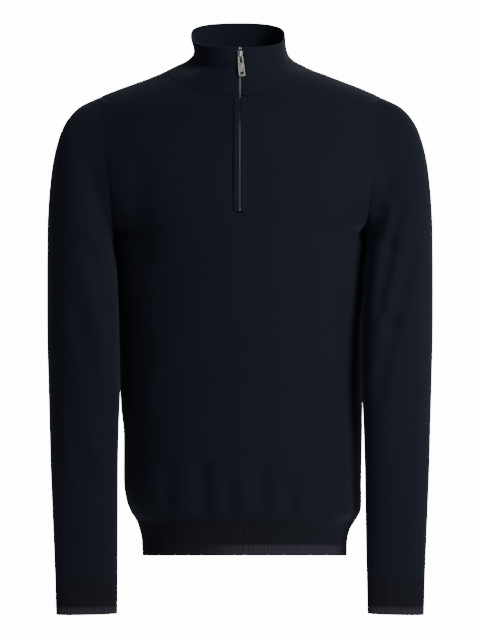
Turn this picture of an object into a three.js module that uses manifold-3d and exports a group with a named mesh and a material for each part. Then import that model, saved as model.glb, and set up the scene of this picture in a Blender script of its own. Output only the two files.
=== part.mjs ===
// Quarter zip sweater in fine knit, filled out as it is worn: front, back, two sleeves, a double
// stand collar, rib hem and cuffs, and a short metal zip with a hanging pull tab.
// Millimetres, +Z up, the front faces -Y. The origin lies level with the neck points of the
// shoulder seams, midway between them. Side and shoulder seams lie in the plane y = 0.

import * as THREE from "three";
import { mergeVertices } from "three/addons/utils/BufferGeometryUtils.js";
import Module from "manifold-3d";

const wasm = await Module();
wasm.setup();

// Driving sizes
const CLOTH = 1.6;
const RIB_CLOTH = 2.0;
const COLLAR_CLOTH = 3.0;
const SEAM_GAP = 0.3;
const MERGE_DISTANCE = 1e-4;
const NECK_ROUNDNESS = 2.3;
const SLEEVE_ROUNDNESS = 2.2;
const BODY_BOTTOM = -612;
const HEM_BOTTOM = -660;
const ARMPIT_HEIGHT = -225;
const ARMPIT_REACH = 168;
const SHOULDER_HEIGHT = -37;
const SHOULDER_REACH = 190;
const NECK_DIP_FRONT = 42;
const NECK_DIP_BACK = -4;
const NECK_DIP_SHARPNESS = 1.2;
const HEM_RAISE_FRONT = 8;
const HEM_RAISE_BACK = 12;
const HEM_RAISE_START = -480;
const FOLD_FADE = 16;
const CUFF_RIB_HEIGHT = 50;
const RIB_PITCH = 5;
const RIB_RAISE = 0.5;
const ZIP_SLOT_HALF = 1.9;
const CHAIN_HALF = 1.5;
const CHAIN_THICKNESS = 1.4;
const CHAIN_START = 0.03;
const CHAIN_SINK = 0.1;
const BAND_WIDTH = 7.5;
const BAND_OVERHANG = 0.8;
const BAND_THICKNESS = 1.0;
const TAPE_REACH = 8;
const TAPE_THICKNESS = 0.8;

// Torso sections, one row each, from the neck down: height of the section at the side seam,
// sideways shift of its middle, half its width, its depth in front of the seams and behind them,
// and how square it is: 2 is an ellipse, and the shoulders fall away to less. Between the shoulder
// and the armpit a section runs on past the armhole, which cuts it.
const TORSO = [
  { height: 0, shift: 0, half: 98, front: 88, back: 62, roundness: 2.3 },
  { height: -6, shift: 1, half: 113, front: 91, back: 69, roundness: 2.2 },
  { height: -12, shift: 2, half: 128, front: 94, back: 76, roundness: 2.1 },
  { height: -19, shift: 2, half: 147, front: 97, back: 83, roundness: 1.98 },
  { height: -27, shift: 1, half: 168, front: 100, back: 89, roundness: 1.86 },
  { height: -37, shift: 0, half: 190, front: 104, back: 95, roundness: 1.76 },
  { height: -50, shift: 0, half: 203, front: 108, back: 101, roundness: 1.73 },
  { height: -62, shift: 0, half: 212, front: 111.5, back: 105, roundness: 1.75 },
  { height: -80, shift: 0, half: 222, front: 116.5, back: 110, roundness: 1.8 },
  { height: -110, shift: 0, half: 232, front: 124, back: 117, roundness: 1.92 },
  { height: -150, shift: 0, half: 228, front: 131, back: 123, roundness: 2.1 },
  { height: -190, shift: 0, half: 205, front: 134, back: 125, roundness: 2.22 },
  { height: -210, shift: 0, half: 186, front: 134.7, back: 125, roundness: 2.27 },
  { height: -225, shift: 0, half: 168, front: 135, back: 125, roundness: 2.3 },
  { height: -270, shift: 0, half: 167, front: 134, back: 124, roundness: 2.3 },
  { height: -345, shift: 0.5, half: 166, front: 131, back: 121, roundness: 2.3 },
  { height: -400, shift: 1.2, half: 165, front: 128, back: 119, roundness: 2.3 },
  { height: -455, shift: 2.2, half: 164, front: 126, back: 118, roundness: 2.3 },
  { height: -495, shift: 4, half: 162, front: 125, back: 118, roundness: 2.3 },
  { height: -560, shift: 3.5, half: 161.3, front: 125, back: 118, roundness: 2.3 },
  { height: -586, shift: 5.5, half: 159.5, front: 125, back: 118, roundness: 2.3 },
  { height: -600, shift: 7.5, half: 156, front: 122, back: 116, roundness: 2.3 },
  { height: -612, shift: 8, half: 149, front: 114, back: 109, roundness: 2.3 },
  { height: -626, shift: 6.3, half: 142.5, front: 109, back: 105, roundness: 2.3 },
  { height: -642, shift: 6.1, half: 139.5, front: 107, back: 104, roundness: 2.3 },
  { height: -660, shift: 6.3, half: 139, front: 107, back: 104, roundness: 2.3 },
];

// Sleeve rings from the armhole down: reach and height z of the outer point, reach of the inner
// point on the +X and on the -X sleeve, its height z, middle of the ring in depth, half its depth,
// and how far the inner side lies ahead of the middle, where it laps over the body's side.
const SLEEVE = [
  { outer: 190, outerZ: -37, right: 168, left: 168, innerZ: -225, middle: 0, depth: 70, lean: 0 },
  { outer: 204, outerZ: -43, right: 168.6, left: 168.6, innerZ: -231, middle: -1, depth: 72, lean: -6 },
  { outer: 217, outerZ: -50, right: 168.7, left: 168.7, innerZ: -237, middle: -2, depth: 73, lean: -12 },
  { outer: 228, outerZ: -60, right: 168.5, left: 168.5, innerZ: -243, middle: -3, depth: 73, lean: -18 },
  { outer: 238, outerZ: -76, right: 167.9, left: 167.9, innerZ: -250, middle: -5, depth: 72.5, lean: -24 },
  { outer: 246, outerZ: -98, right: 166.6, left: 166.6, innerZ: -258, middle: -8, depth: 71.5, lean: -28 },
  { outer: 252.5, outerZ: -127, right: 165.4, left: 165.4, innerZ: -268, middle: -12, depth: 70, lean: -30 },
  { outer: 256.5, outerZ: -162, right: 164.9, left: 164.9, innerZ: -281, middle: -17, depth: 68, lean: -31 },
  { outer: 259, outerZ: -204, right: 164.5, left: 164.5, innerZ: -300, middle: -23, depth: 65, lean: -31 },
  { outer: 259.5, outerZ: -252, right: 164, left: 164, innerZ: -326, middle: -30, depth: 62, lean: -31 },
  { outer: 259, outerZ: -306, right: 163.6, left: 163, innerZ: -358, middle: -36, depth: 59, lean: -30 },
  { outer: 258, outerZ: -362, right: 163, left: 161.6, innerZ: -396, middle: -41, depth: 55, lean: -28 },
  { outer: 256, outerZ: -420, right: 163.6, left: 160.8, innerZ: -438, middle: -45, depth: 51, lean: -23 },
  { outer: 254, outerZ: -480, right: 165.2, left: 161.8, innerZ: -486, middle: -48, depth: 47, lean: -17 },
  { outer: 252, outerZ: -540, right: 167, left: 163.2, innerZ: -540, middle: -51, depth: 42, lean: -12 },
  { outer: 249.4, outerZ: -600, right: 168.8, left: 163.8, innerZ: -598, middle: -54, depth: 36, lean: -8 },
  { outer: 247.4, outerZ: -650, right: 170.2, left: 164.4, innerZ: -648, middle: -56, depth: 29, lean: -5 },
  { outer: 246, outerZ: -685, right: 171, left: 165, innerZ: -683, middle: -57, depth: 23, lean: -4 },
];
const CUFF_END = { outer: 245, right: 172, left: 165, middle: -59, depth: 16 };

// Collar rings from the neck seam up: sideways shift of its sides, half its width, height at the
// side, depth and height at the front and at the back.
const COLLAR = [
  { shift: 0, half: 98, side: 0, front: 88, frontHeight: -42, back: 62, backHeight: 4 },
  { shift: 0, half: 86, side: 6, front: 86.5, frontHeight: -31, back: 58, backHeight: 12.5 },
  { shift: 0.5, half: 74, side: 12, front: 84, frontHeight: -20, back: 55, backHeight: 22 },
  { shift: 1, half: 66, side: 19, front: 81.5, frontHeight: -9, back: 53, backHeight: 32.5 },
  { shift: 0.5, half: 63.2, side: 26, front: 81.5, frontHeight: 1, back: 52, backHeight: 43 },
  { shift: -1, half: 62.6, side: 36, front: 80.5, frontHeight: 12, back: 51, backHeight: 55.5 },
  { shift: -3, half: 63.2, side: 47, front: 79, frontHeight: 24, back: 50, backHeight: 69 },
];

// Folds: where each starts and ends across and in height, its depth, and half its width. They
// fade out at the neck, the side seams and the hem seam.
const FRONT_FOLDS = [
  { x1: -98, z1: -545, x2: -92, z2: -606, depth: 4, width: 13 },
  { x1: -50, z1: -540, x2: -48, z2: -612, depth: 6, width: 12 },
  { x1: -16, z1: -556, x2: -14, z2: -606, depth: 4, width: 11 },
  { x1: 28, z1: -540, x2: 30, z2: -606, depth: 4, width: 13 },
  { x1: 66, z1: -560, x2: 64, z2: -606, depth: 3, width: 12 },
  { x1: 118, z1: -575, x2: 114, z2: -612, depth: 4, width: 12 },
  { x1: 125, z1: -308, x2: 150, z2: -470, depth: 3, width: 13 },
  { x1: -132, z1: -378, x2: -146, z2: -455, depth: 3, width: 12 },
  { x1: -136, z1: -140, x2: -134, z2: -250, depth: 4, width: 20 },
  { x1: 142, z1: -150, x2: 138, z2: -250, depth: 3, width: 18 },
];
const COLLAR_FOLDS = [
  { x1: -70, z1: -2, x2: -22, z2: -1, depth: 1.6, width: 7 },
  { x1: 40, z1: 2, x2: 80, z2: 2, depth: 1.4, width: 7 },
];
const BACK_FOLDS = [
  { x1: -104, z1: -530, x2: -98, z2: -606, depth: 4, width: 15 },
  { x1: -46, z1: -548, x2: -44, z2: -610, depth: 5, width: 14 },
  { x1: 12, z1: -530, x2: 10, z2: -606, depth: 4, width: 15 },
  { x1: 62, z1: -552, x2: 66, z2: -610, depth: 5, width: 14 },
  { x1: 120, z1: -540, x2: 112, z2: -606, depth: 3, width: 14 },
  { x1: -130, z1: -150, x2: -120, z2: -330, depth: 4, width: 22 },
  { x1: 132, z1: -160, x2: 120, z2: -350, depth: 4, width: 22 },
];
const RIGHT_SLEEVE_FOLDS = [
  { x1: 189, z1: -196, x2: 179, z2: -227, depth: 5, width: 9 },
  { x1: 214, z1: -186, x2: 200, z2: -242, depth: 4, width: 9 },
  { x1: 200, z1: -242, x2: 184, z2: -325, depth: 6, width: 9 },
  { x1: 227, z1: -258, x2: 202, z2: -347, depth: 5, width: 11 },
  { x1: 202, z1: -347, x2: 184, z2: -434, depth: 4, width: 10 },
];
const LEFT_SLEEVE_FOLDS = [
  { x1: -192, z1: -140, x2: -178, z2: -205, depth: 5, width: 14 },
  { x1: -196, z1: -250, x2: -178, z2: -330, depth: 4, width: 11 },
  { x1: -214, z1: -330, x2: -192, z2: -420, depth: 3, width: 13 },
];
const SLEEVE_BACK_FOLDS = [
  { x1: 188, z1: -190, x2: 214, z2: -300, depth: 4, width: 12 },
  { x1: 214, z1: -340, x2: 186, z2: -410, depth: 5, width: 12 },
  { x1: 232, z1: -390, x2: 200, z2: -450, depth: 3, width: 12 },
];

function smooth(start, end, value) {
  const part = Math.min(1, Math.max(0, (value - start) / (end - start)));
  return part * part * (3 - 2 * part);
}

function lerp(start, end, part) {
  return start + (end - start) * part;
}

// Value of one column of a table between its rows, on a smooth curve through them.
function along(table, column, position) {
  const last = table.length - 1;
  const row = Math.min(last - 1, Math.max(0, Math.floor(position)));
  const part = position - row;
  const value = (index) => table[Math.min(last, Math.max(0, index))][column];
  const slopeStart = (value(row + 1) - value(row - 1)) / 2;
  const slopeEnd = (value(row + 2) - value(row)) / 2;
  const square = part * part;
  const cube = square * part;
  const ends = (2 * cube - 3 * square + 1) * value(row) + (3 * square - 2 * cube) * value(row + 1);
  return ends + (cube - 2 * square + part) * slopeStart + (cube - square) * slopeEnd;
}

// Row position of a height in the torso table.
function torsoPosition(height) {
  for (let row = 0; row < TORSO.length - 1; row += 1) {
    const top = TORSO[row].height;
    const bottom = TORSO[row + 1].height;
    if (height >= bottom) return row + (top - height) / (top - bottom);
  }
  return TORSO.length - 1;
}

function torsoRow(height) {
  const position = torsoPosition(height);
  const row = Math.min(TORSO.length - 2, Math.floor(position));
  const part = position - row;
  const value = (column) => lerp(TORSO[row][column], TORSO[row + 1][column], part);
  return {
    shift: value("shift"), half: value("half"), front: value("front"), back: value("back"),
    roundness: value("roundness"),
  };
}

// Depth of all folds of a table at a place: soft troughs that fade at both ends.
function foldDepth(folds, x, z) {
  let depth = 0;
  for (const fold of folds) {
    const dx = fold.x2 - fold.x1;
    const dz = fold.z2 - fold.z1;
    const length = Math.hypot(dx, dz);
    const run = ((x - fold.x1) * dx + (z - fold.z1) * dz) / length;
    const aside = ((x - fold.x1) * dz - (z - fold.z1) * dx) / length;
    const over = Math.max(0, -run, run - length);
    depth += fold.depth * Math.exp(-((aside / fold.width) ** 2) - (over / fold.width) ** 2);
  }
  return depth;
}

function armholeReach(height) {
  const part = (height - ARMPIT_HEIGHT) / (SHOULDER_HEIGHT - ARMPIT_HEIGHT);
  return lerp(ARMPIT_REACH, SHOULDER_REACH, part);
}

// A point of the torso. Side is -1 in front and +1 behind, across runs from -1 to +1 between the
// panel's edges, and height is the section's height at the side. Beside the zip the middle stays
// in the plane x = 0.
function torsoPoint(side, across, height, folds) {
  const section = torsoRow(height);
  const power = 2 / section.roundness;
  const between = height > ARMPIT_HEIGHT && height < SHOULDER_HEIGHT;
  const widest = between ? Math.min(1, armholeReach(height) / section.half) : 1;
  const edgeAngle = Math.asin(widest ** (1 / power));
  const angle = Math.abs(across) * edgeAngle;
  const reach = section.half * Math.sin(angle) ** power;
  const depth = (side < 0 ? section.front : section.back) * Math.cos(angle) ** power;
  const shift = section.shift * (height > ARMPIT_HEIGHT ? Math.abs(across) : 1);
  const x = shift + Math.sign(across) * reach;
  const facing = Math.max(0, Math.cos((across * Math.PI) / 2));
  const dip = side < 0 ? NECK_DIP_FRONT : NECK_DIP_BACK;
  const raise = side < 0 ? HEM_RAISE_FRONT : HEM_RAISE_BACK;
  const nearNeck = Math.max(0, (height - ARMPIT_HEIGHT) / -ARMPIT_HEIGHT) ** 2;
  const nearHem = smooth(HEM_RAISE_START, HEM_BOTTOM, height);
  const z = height - dip * nearNeck * facing ** NECK_DIP_SHARPNESS + raise * nearHem * facing;
  const fade = Math.sqrt(facing) * smooth(BODY_BOTTOM, BODY_BOTTOM + FOLD_FADE, height);
  const fold = folds ? foldDepth(folds, x, z) * fade : 0;
  return new THREE.Vector3(x, side * (Math.max(0, depth - fold) + SEAM_GAP / 2), z);
}

// Normals of a grid of points from its neighbours. A ring closes on itself.
function gridNormals(grid, closed, outward) {
  const rows = grid.length;
  const columns = grid[0].length;
  return grid.map((line, row) => line.map((point, column) => {
    const before = closed ? (column + columns - 1) % columns : Math.max(0, column - 1);
    const after = closed ? (column + 1) % columns : Math.min(columns - 1, column + 1);
    const along1 = grid[row][after].clone().sub(grid[row][before]);
    const along2 = grid[Math.min(rows - 1, row + 1)][column].clone();
    along2.sub(grid[Math.max(0, row - 1)][column]);
    return along1.cross(along2).normalize().multiplyScalar(outward);
  }));
}

// Level normals for a row that meets another piece, so both walls end at the same height.
function levelNormals(normals, grid, row, closed, outward) {
  const columns = grid[row].length;
  const up = new THREE.Vector3(0, 0, 1);
  normals[row].forEach((normal, column) => {
    const before = closed ? (column + columns - 1) % columns : Math.max(0, column - 1);
    const after = closed ? (column + 1) % columns : Math.min(columns - 1, column + 1);
    const run = grid[row][after].clone().sub(grid[row][before]);
    normal.copy(run.cross(up).normalize().multiplyScalar(outward));
  });
}

// A closed wall between an outer and an inner grid. Cells that keep(row, column) refuses are open.
function wall(outer, inner, closed, keep = () => true) {
  const rows = outer.length;
  const columns = outer[0].length;
  const cells = closed ? columns : columns - 1;
  const flat = [];
  const add = (a, b, c) => {
    for (const point of [a, b, c]) flat.push(point.x, point.y, point.z);
  };
  const has = (row, column) => {
    if (row < 0 || row >= rows - 1) return false;
    if (!closed && (column < 0 || column >= cells)) return false;
    return keep(row, (column + cells) % cells);
  };
  for (let row = 0; row < rows - 1; row += 1) {
    for (let column = 0; column < cells; column += 1) {
      if (!has(row, column)) continue;
      const next = (column + 1) % columns;
      const a = [outer[row][column], inner[row][column]];
      const b = [outer[row][next], inner[row][next]];
      const c = [outer[row + 1][next], inner[row + 1][next]];
      const d = [outer[row + 1][column], inner[row + 1][column]];
      add(a[0], b[0], c[0]);
      add(a[0], c[0], d[0]);
      add(a[1], c[1], b[1]);
      add(a[1], d[1], c[1]);
      const edge = (p, q) => {
        add(q[0], p[0], p[1]);
        add(q[0], p[1], q[1]);
      };
      if (!has(row - 1, column)) edge(a, b);
      if (!has(row, column + 1)) edge(b, c);
      if (!has(row + 1, column)) edge(c, d);
      if (!has(row, column - 1)) edge(d, a);
    }
  }
  const geometry = new THREE.BufferGeometry();
  geometry.setAttribute("position", new THREE.Float32BufferAttribute(flat, 3));
  return turnedOut(mergeVertices(geometry, MERGE_DISTANCE));
}

function signedVolume(geometry) {
  const position = geometry.getAttribute("position");
  const index = geometry.getIndex();
  const corner = (place) => new THREE.Vector3().fromBufferAttribute(position, index.getX(place));
  let volume = 0;
  for (let place = 0; place < index.count; place += 3) {
    volume += corner(place).dot(corner(place + 1).cross(corner(place + 2)));
  }
  return volume;
}

// The same geometry with its faces pointing outwards.
function turnedOut(geometry) {
  if (signedVolume(geometry) > 0) return geometry;
  const index = geometry.getIndex();
  for (let place = 0; place < index.count; place += 3) {
    const second = index.getX(place + 1);
    index.setX(place + 1, index.getX(place + 2));
    index.setX(place + 2, second);
  }
  return geometry;
}

function offset(grid, normals, distance) {
  return grid.map((line, row) => line.map((point, column) => (
    point.clone().addScaledVector(normals[row][column], distance))));
}

const garment = new THREE.Group();

function addPiece(name, geometry, colour, roughness, metalness = 0) {
  const material = new THREE.MeshStandardMaterial({ color: colour, roughness, metalness });
  material.name = `${name}_finish`;
  const mesh = new THREE.Mesh(geometry, material);
  mesh.name = name;
  garment.add(mesh);
  return mesh;
}

const NAVY = 0x141826;
const RIB_NAVY = 0x171a27;
const TAPE_BLACK = 0x0d0e14;
const STEEL = 0xa9a7a3;
const CLOTH_ROUGHNESS = 0.9;
const METAL_ROUGHNESS = 0.35;
const METALNESS = 0.9;

// Front and back
const FRONT_HEIGHTS = [
  0, -7, -16, -26, -37, -46, -58, -78, -104, -134, -166, -196, -225, -262, -305,
  -355, -405, -450, -490, -525, -553, -576, -592, -603, -612,
];
const BACK_HEIGHTS = [
  0, -7, -16, -26, -37, -46, -60, -84, -120, -162, -200, -225, -275, -345, -420, -485,
  -540, -576, -592, -603, -612,
];
const ZIP_BOTTOM_ROW = 11;
const ZIP_SIDE_COLUMNS = 14;
const BACK_COLUMNS = 22;

// Holds every point of a grid on its own side of the seams.
function keepOnSide(grid, side) {
  for (const line of grid) {
    for (const point of line) point.y = side * Math.max(SEAM_GAP / 2, side * point.y);
  }
}

function frontColumns() {
  const right = [];
  for (let column = 0; column <= ZIP_SIDE_COLUMNS; column += 1) {
    right.push(column / ZIP_SIDE_COLUMNS);
  }
  const left = right.map((across) => -across).reverse();
  return [...left, ...right];
}

// A front point. The two middle columns are the edges of the zip's slot.
function frontPoint(across, height, column) {
  const point = torsoPoint(-1, across, height, FRONT_FOLDS);
  if (across === 0) point.x += (column <= ZIP_SIDE_COLUMNS ? -1 : 1) * ZIP_SLOT_HALF;
  return point;
}

function frontPanel() {
  const columns = frontColumns();
  const outer = FRONT_HEIGHTS.map((height) => columns.map((across, column) => (
    frontPoint(across, height, column))));
  const normals = gridNormals(outer, false, -1);
  for (const row of [0, outer.length - 1]) levelNormals(normals, outer, row, false, 1);
  for (const line of normals) {
    for (const middle of [ZIP_SIDE_COLUMNS, ZIP_SIDE_COLUMNS + 1]) line[middle].setX(0).normalize();
  }
  const inner = offset(outer, normals, -CLOTH);
  keepOnSide(inner, -1);
  const closedUnderZip = (row, column) => column !== ZIP_SIDE_COLUMNS || row >= ZIP_BOTTOM_ROW;
  return wall(outer, inner, false, closedUnderZip);
}

function backPanel() {
  const outer = BACK_HEIGHTS.map((height) => {
    const line = [];
    for (let column = 0; column <= BACK_COLUMNS; column += 1) {
      line.push(torsoPoint(1, (2 * column) / BACK_COLUMNS - 1, height, BACK_FOLDS));
    }
    return line;
  });
  const normals = gridNormals(outer, false, 1);
  for (const row of [0, outer.length - 1]) levelNormals(normals, outer, row, false, -1);
  const inner = offset(outer, normals, -CLOTH);
  keepOnSide(inner, 1);
  return wall(outer, inner, false);
}

addPiece("front_panel", frontPanel(), NAVY, CLOTH_ROUGHNESS);
addPiece("back_panel", backPanel(), NAVY, CLOTH_ROUGHNESS);

// Sleeves
const SLEEVE_COLUMNS = 28;
const SLEEVE_BLEND_ROWS = 6;

// Depth of the armhole edge at a height, in front or behind.
function armholeDepth(side, height) {
  const section = torsoRow(height);
  const part = Math.min(1, armholeReach(height) / section.half);
  const depth = side < 0 ? section.front : section.back;
  return depth * (1 - part ** section.roundness) ** (1 / section.roundness);
}

// A ring of the sleeve at a position in its table. Hand is +1 for the +X sleeve.
function sleeveRing(hand, position, folds, columns) {
  const value = (column) => along(SLEEVE, column, position);
  const innerReach = value(hand > 0 ? "right" : "left");
  const inner = new THREE.Vector2(innerReach, value("innerZ"));
  const outer = new THREE.Vector2(value("outer"), value("outerZ"));
  const toArmhole = 1 - smooth(0, SLEEVE_BLEND_ROWS, position);
  const ring = [];
  for (let column = 0; column < columns; column += 1) {
    const angle = (2 * Math.PI * column) / columns;
    const up = Math.sign(Math.cos(angle)) * Math.abs(Math.cos(angle)) ** (2 / SLEEVE_ROUNDNESS);
    const aside = Math.sign(Math.sin(angle)) * Math.abs(Math.sin(angle)) ** (2 / SLEEVE_ROUNDNESS);
    const part = (1 + up) / 2;
    const place = inner.clone().lerp(outer, part);
    const armholeHeight = lerp(ARMPIT_HEIGHT, SHOULDER_HEIGHT, part);
    const lap = value("lean") * (1 - part) ** 2;
    const plain = value("middle") + lap + value("depth") * aside;
    const cut = Math.sign(aside) * armholeDepth(aside, armholeHeight);
    let y = lerp(plain, cut, toArmhole);
    const table = aside < 0 ? folds : SLEEVE_BACK_FOLDS;
    const x = hand * place.x;
    const foldX = aside < 0 ? x : Math.abs(x);
    y -= Math.sign(aside) * foldDepth(table, foldX, place.y) * Math.abs(aside) * (1 - toArmhole);
    ring.push(new THREE.Vector3(x, y, place.y));
  }
  return ring;
}

// A tube's wall: its rings, and the same rings moved in by the cloth's thickness. The first ring
// lies in the slanting plane of the armhole.
function tubeWall(rings, thickness, hand) {
  const normals = gridNormals(rings, true, -hand);
  levelNormals(normals, rings, rings.length - 1, true, hand);
  const first = normals[0];
  const rise = SHOULDER_HEIGHT - ARMPIT_HEIGHT;
  const lean = SHOULDER_REACH - ARMPIT_REACH;
  const armhole = new THREE.Vector3(hand * rise, 0, -lean).normalize();
  for (const normal of first) normal.addScaledVector(armhole, -normal.dot(armhole)).normalize();
  return wall(rings, offset(rings, normals, -thickness), true);
}

function sleeve(hand, folds) {
  const rings = SLEEVE.map((row, position) => sleeveRing(hand, position, folds, SLEEVE_COLUMNS));
  const fromArmhole = hand * SEAM_GAP;
  for (const point of rings[0]) point.x += fromArmhole;
  return tubeWall(rings, CLOTH, hand);
}

addPiece("sleeve_right", sleeve(1, RIGHT_SLEEVE_FOLDS), NAVY, CLOTH_ROUGHNESS);
addPiece("sleeve_left", sleeve(-1, LEFT_SLEEVE_FOLDS), NAVY, CLOTH_ROUGHNESS);

// Rib bands: outer points raised on every other column, over a plain inside.
function ribbed(rows, closed, outward, side = 0) {
  const normals = gridNormals(rows, closed, outward);
  for (const row of [0, rows.length - 1]) levelNormals(normals, rows, row, closed, -outward);
  const outer = rows.map((line, row) => line.map((point, column) => (
    point.clone().addScaledVector(normals[row][column], column % 2 === 0 ? -RIB_RAISE : 0))));
  const inner = offset(rows, normals, -RIB_CLOTH);
  if (side !== 0) {
    keepOnSide(outer, side);
    keepOnSide(inner, side);
  }
  return wall(outer, inner, closed);
}

const HEM_HEIGHTS = [BODY_BOTTOM - SEAM_GAP, (BODY_BOTTOM + HEM_BOTTOM) / 2, HEM_BOTTOM];
const HEM_HALF_GIRTH = 395;

function hemRib(side) {
  const ribs = Math.round(HEM_HALF_GIRTH / RIB_PITCH);
  const columns = 2 * ribs;
  const rows = HEM_HEIGHTS.map((height) => {
    const line = [];
    for (let column = 0; column <= columns; column += 1) {
      line.push(torsoPoint(side, (2 * column) / columns - 1, height, null));
    }
    return line;
  });
  return ribbed(rows, false, side, side);
}

const CUFF_RIBS = 37;

function cuffRib(hand) {
  const last = SLEEVE.length - 1;
  const columns = 2 * CUFF_RIBS;
  const top = sleeveRing(hand, last, [], columns);
  const start = SLEEVE[last];
  const innerStart = hand > 0 ? start.right : start.left;
  const innerEnd = hand > 0 ? CUFF_END.right : CUFF_END.left;
  const rows = [0, 1].map((part) => {
    const inner = lerp(innerStart, innerEnd, part);
    const outer = lerp(start.outer, CUFF_END.outer, part);
    return top.map((point) => {
      const across = (hand * point.x - innerStart) / (start.outer - innerStart);
      const aside = (point.y - start.middle) / start.depth;
      const middle = lerp(start.middle, CUFF_END.middle, part);
      const y = middle + lerp(start.depth, CUFF_END.depth, part) * aside;
      const z = point.z - SEAM_GAP - (CUFF_RIB_HEIGHT - SEAM_GAP) * part;
      return new THREE.Vector3(hand * lerp(inner, outer, across), y, z);
    });
  });
  return ribbed(rows, true, -hand);
}

addPiece("hem_rib_front", hemRib(-1), RIB_NAVY, CLOTH_ROUGHNESS);
addPiece("hem_rib_back", hemRib(1), RIB_NAVY, CLOTH_ROUGHNESS);
addPiece("cuff_rib_right", cuffRib(1), RIB_NAVY, CLOTH_ROUGHNESS);
addPiece("cuff_rib_left", cuffRib(-1), RIB_NAVY, CLOTH_ROUGHNESS);

// Collar
const COLLAR_COLUMNS = 4 * ZIP_SIDE_COLUMNS;
const COLLAR_ROWS = 11;

// A point of the collar. Turn runs from 0 at the zip round the -X side, the back and the +X side
// to 1 at the zip again, and position is the row in the collar's table.
function collarPoint(turn, position) {
  const value = (column) => along(COLLAR, column, position);
  const angle = 2 * Math.PI * turn;
  const inFront = Math.cos(angle) > 0;
  const flat = Math.abs(Math.sin(angle)) ** (2 / NECK_ROUNDNESS);
  const deep = Math.abs(Math.cos(angle)) ** (2 / NECK_ROUNDNESS);
  const depth = inFront ? value("front") : value("back");
  const end = inFront ? value("frontHeight") : value("backHeight");
  const x = (value("shift") - Math.sign(Math.sin(angle)) * value("half")) * flat;
  const z = lerp(value("side"), end, Math.abs(Math.cos(angle)) ** NECK_DIP_SHARPNESS);
  const fold = inFront ? foldDepth(COLLAR_FOLDS, x, z) : 0;
  return new THREE.Vector3(x, (inFront ? -1 : 1) * Math.max(0, depth * deep - fold), z);
}

function collar() {
  const rows = [];
  for (let row = 0; row < COLLAR_ROWS; row += 1) {
    const position = ((COLLAR.length - 1) * row) / (COLLAR_ROWS - 1);
    const line = [];
    for (let column = 0; column <= COLLAR_COLUMNS; column += 1) {
      line.push(collarPoint(column / COLLAR_COLUMNS, position));
    }
    line[0].x = -ZIP_SLOT_HALF;
    line[COLLAR_COLUMNS].x = ZIP_SLOT_HALF;
    rows.push(line);
  }
  const normals = gridNormals(rows, false, -1);
  levelNormals(normals, rows, 0, false, -1);
  for (const line of normals) {
    line[0].setX(0).normalize();
    line[COLLAR_COLUMNS].setX(0).normalize();
  }
  const lift = new THREE.Vector3(0, 0, SEAM_GAP + SEAM_GAP / 2);
  for (const point of rows[0]) point.add(lift);
  return wall(rows, offset(rows, normals, -COLLAR_CLOTH), false);
}

addPiece("collar", collar(), NAVY, CLOTH_ROUGHNESS);

// Zip. The path is the middle line of the front and of the collar above it, as y and z.
function zipPath() {
  const path = [];
  for (let row = ZIP_BOTTOM_ROW; row > 0; row -= 1) {
    const point = torsoPoint(-1, 0, FRONT_HEIGHTS[row], null);
    path.push(new THREE.Vector2(point.y, point.z));
  }
  for (let position = 0; position < COLLAR.length; position += 1) {
    const point = collarPoint(0, position);
    path.push(new THREE.Vector2(point.y, point.z + (position === 0 ? CLOTH : 0)));
  }
  return path;
}

// A flat strip that follows the path, from one x to another, between two depths behind it.
function strip(path, left, right, nearDepth, farDepth) {
  const rings = path.map((place, index) => {
    const before = path[Math.max(0, index - 1)];
    const after = path[Math.min(path.length - 1, index + 1)];
    const run = after.clone().sub(before).normalize();
    const behind = new THREE.Vector2(run.y, -run.x);
    const near = place.clone().addScaledVector(behind, nearDepth);
    const far = place.clone().addScaledVector(behind, farDepth);
    return [
      [left, near], [right, near], [right, far], [left, far],
    ].map(([x, at]) => new THREE.Vector3(x, at.x, at.y));
  });
  const flat = [];
  const quad = (a, b, c, d) => {
    for (const point of [a, b, c, a, c, d]) flat.push(point.x, point.y, point.z);
  };
  for (let row = 0; row < rings.length - 1; row += 1) {
    for (let side = 0; side < 4; side += 1) {
      const next = (side + 1) % 4;
      quad(rings[row][side], rings[row][next], rings[row + 1][next], rings[row + 1][side]);
    }
  }
  const last = rings[rings.length - 1];
  quad(rings[0][3], rings[0][2], rings[0][1], rings[0][0]);
  quad(last[0], last[1], last[2], last[3]);
  const geometry = new THREE.BufferGeometry();
  geometry.setAttribute("position", new THREE.Float32BufferAttribute(flat, 3));
  return turnedOut(mergeVertices(geometry, MERGE_DISTANCE));
}

const wholePath = zipPath();
const bodyPath = wholePath.slice(0, ZIP_BOTTOM_ROW);
const chainPath = wholePath.map((place) => place.clone());
chainPath[0].lerp(chainPath[1], CHAIN_START);
const chain = strip(chainPath, -CHAIN_HALF, CHAIN_HALF, CHAIN_SINK, CHAIN_SINK + CHAIN_THICKNESS);
addPiece("zip_chain", chain, STEEL, METAL_ROUGHNESS, METALNESS);

// A strip beside the zip, between two distances from the middle line on one hand.
function sideStrip(hand, from, to, nearDepth, farDepth) {
  const edges = [hand * from, hand * to].sort((a, b) => a - b);
  return strip(bodyPath, edges[0], edges[1], nearDepth, farDepth);
}

const bandStart = ZIP_SLOT_HALF - BAND_OVERHANG;
const tapeDepth = CLOTH + 2 * SEAM_GAP;
for (const [name, hand] of [["left", -1], ["right", 1]]) {
  const band = sideStrip(hand, bandStart, bandStart + BAND_WIDTH, -SEAM_GAP - BAND_THICKNESS, -SEAM_GAP);
  addPiece(`zip_band_${name}`, band, NAVY, CLOTH_ROUGHNESS);
  const tape = sideStrip(hand, SEAM_GAP, TAPE_REACH, tapeDepth, tapeDepth + TAPE_THICKNESS);
  addPiece(`zip_tape_${name}`, tape, TAPE_BLACK, CLOTH_ROUGHNESS);
}

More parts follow.
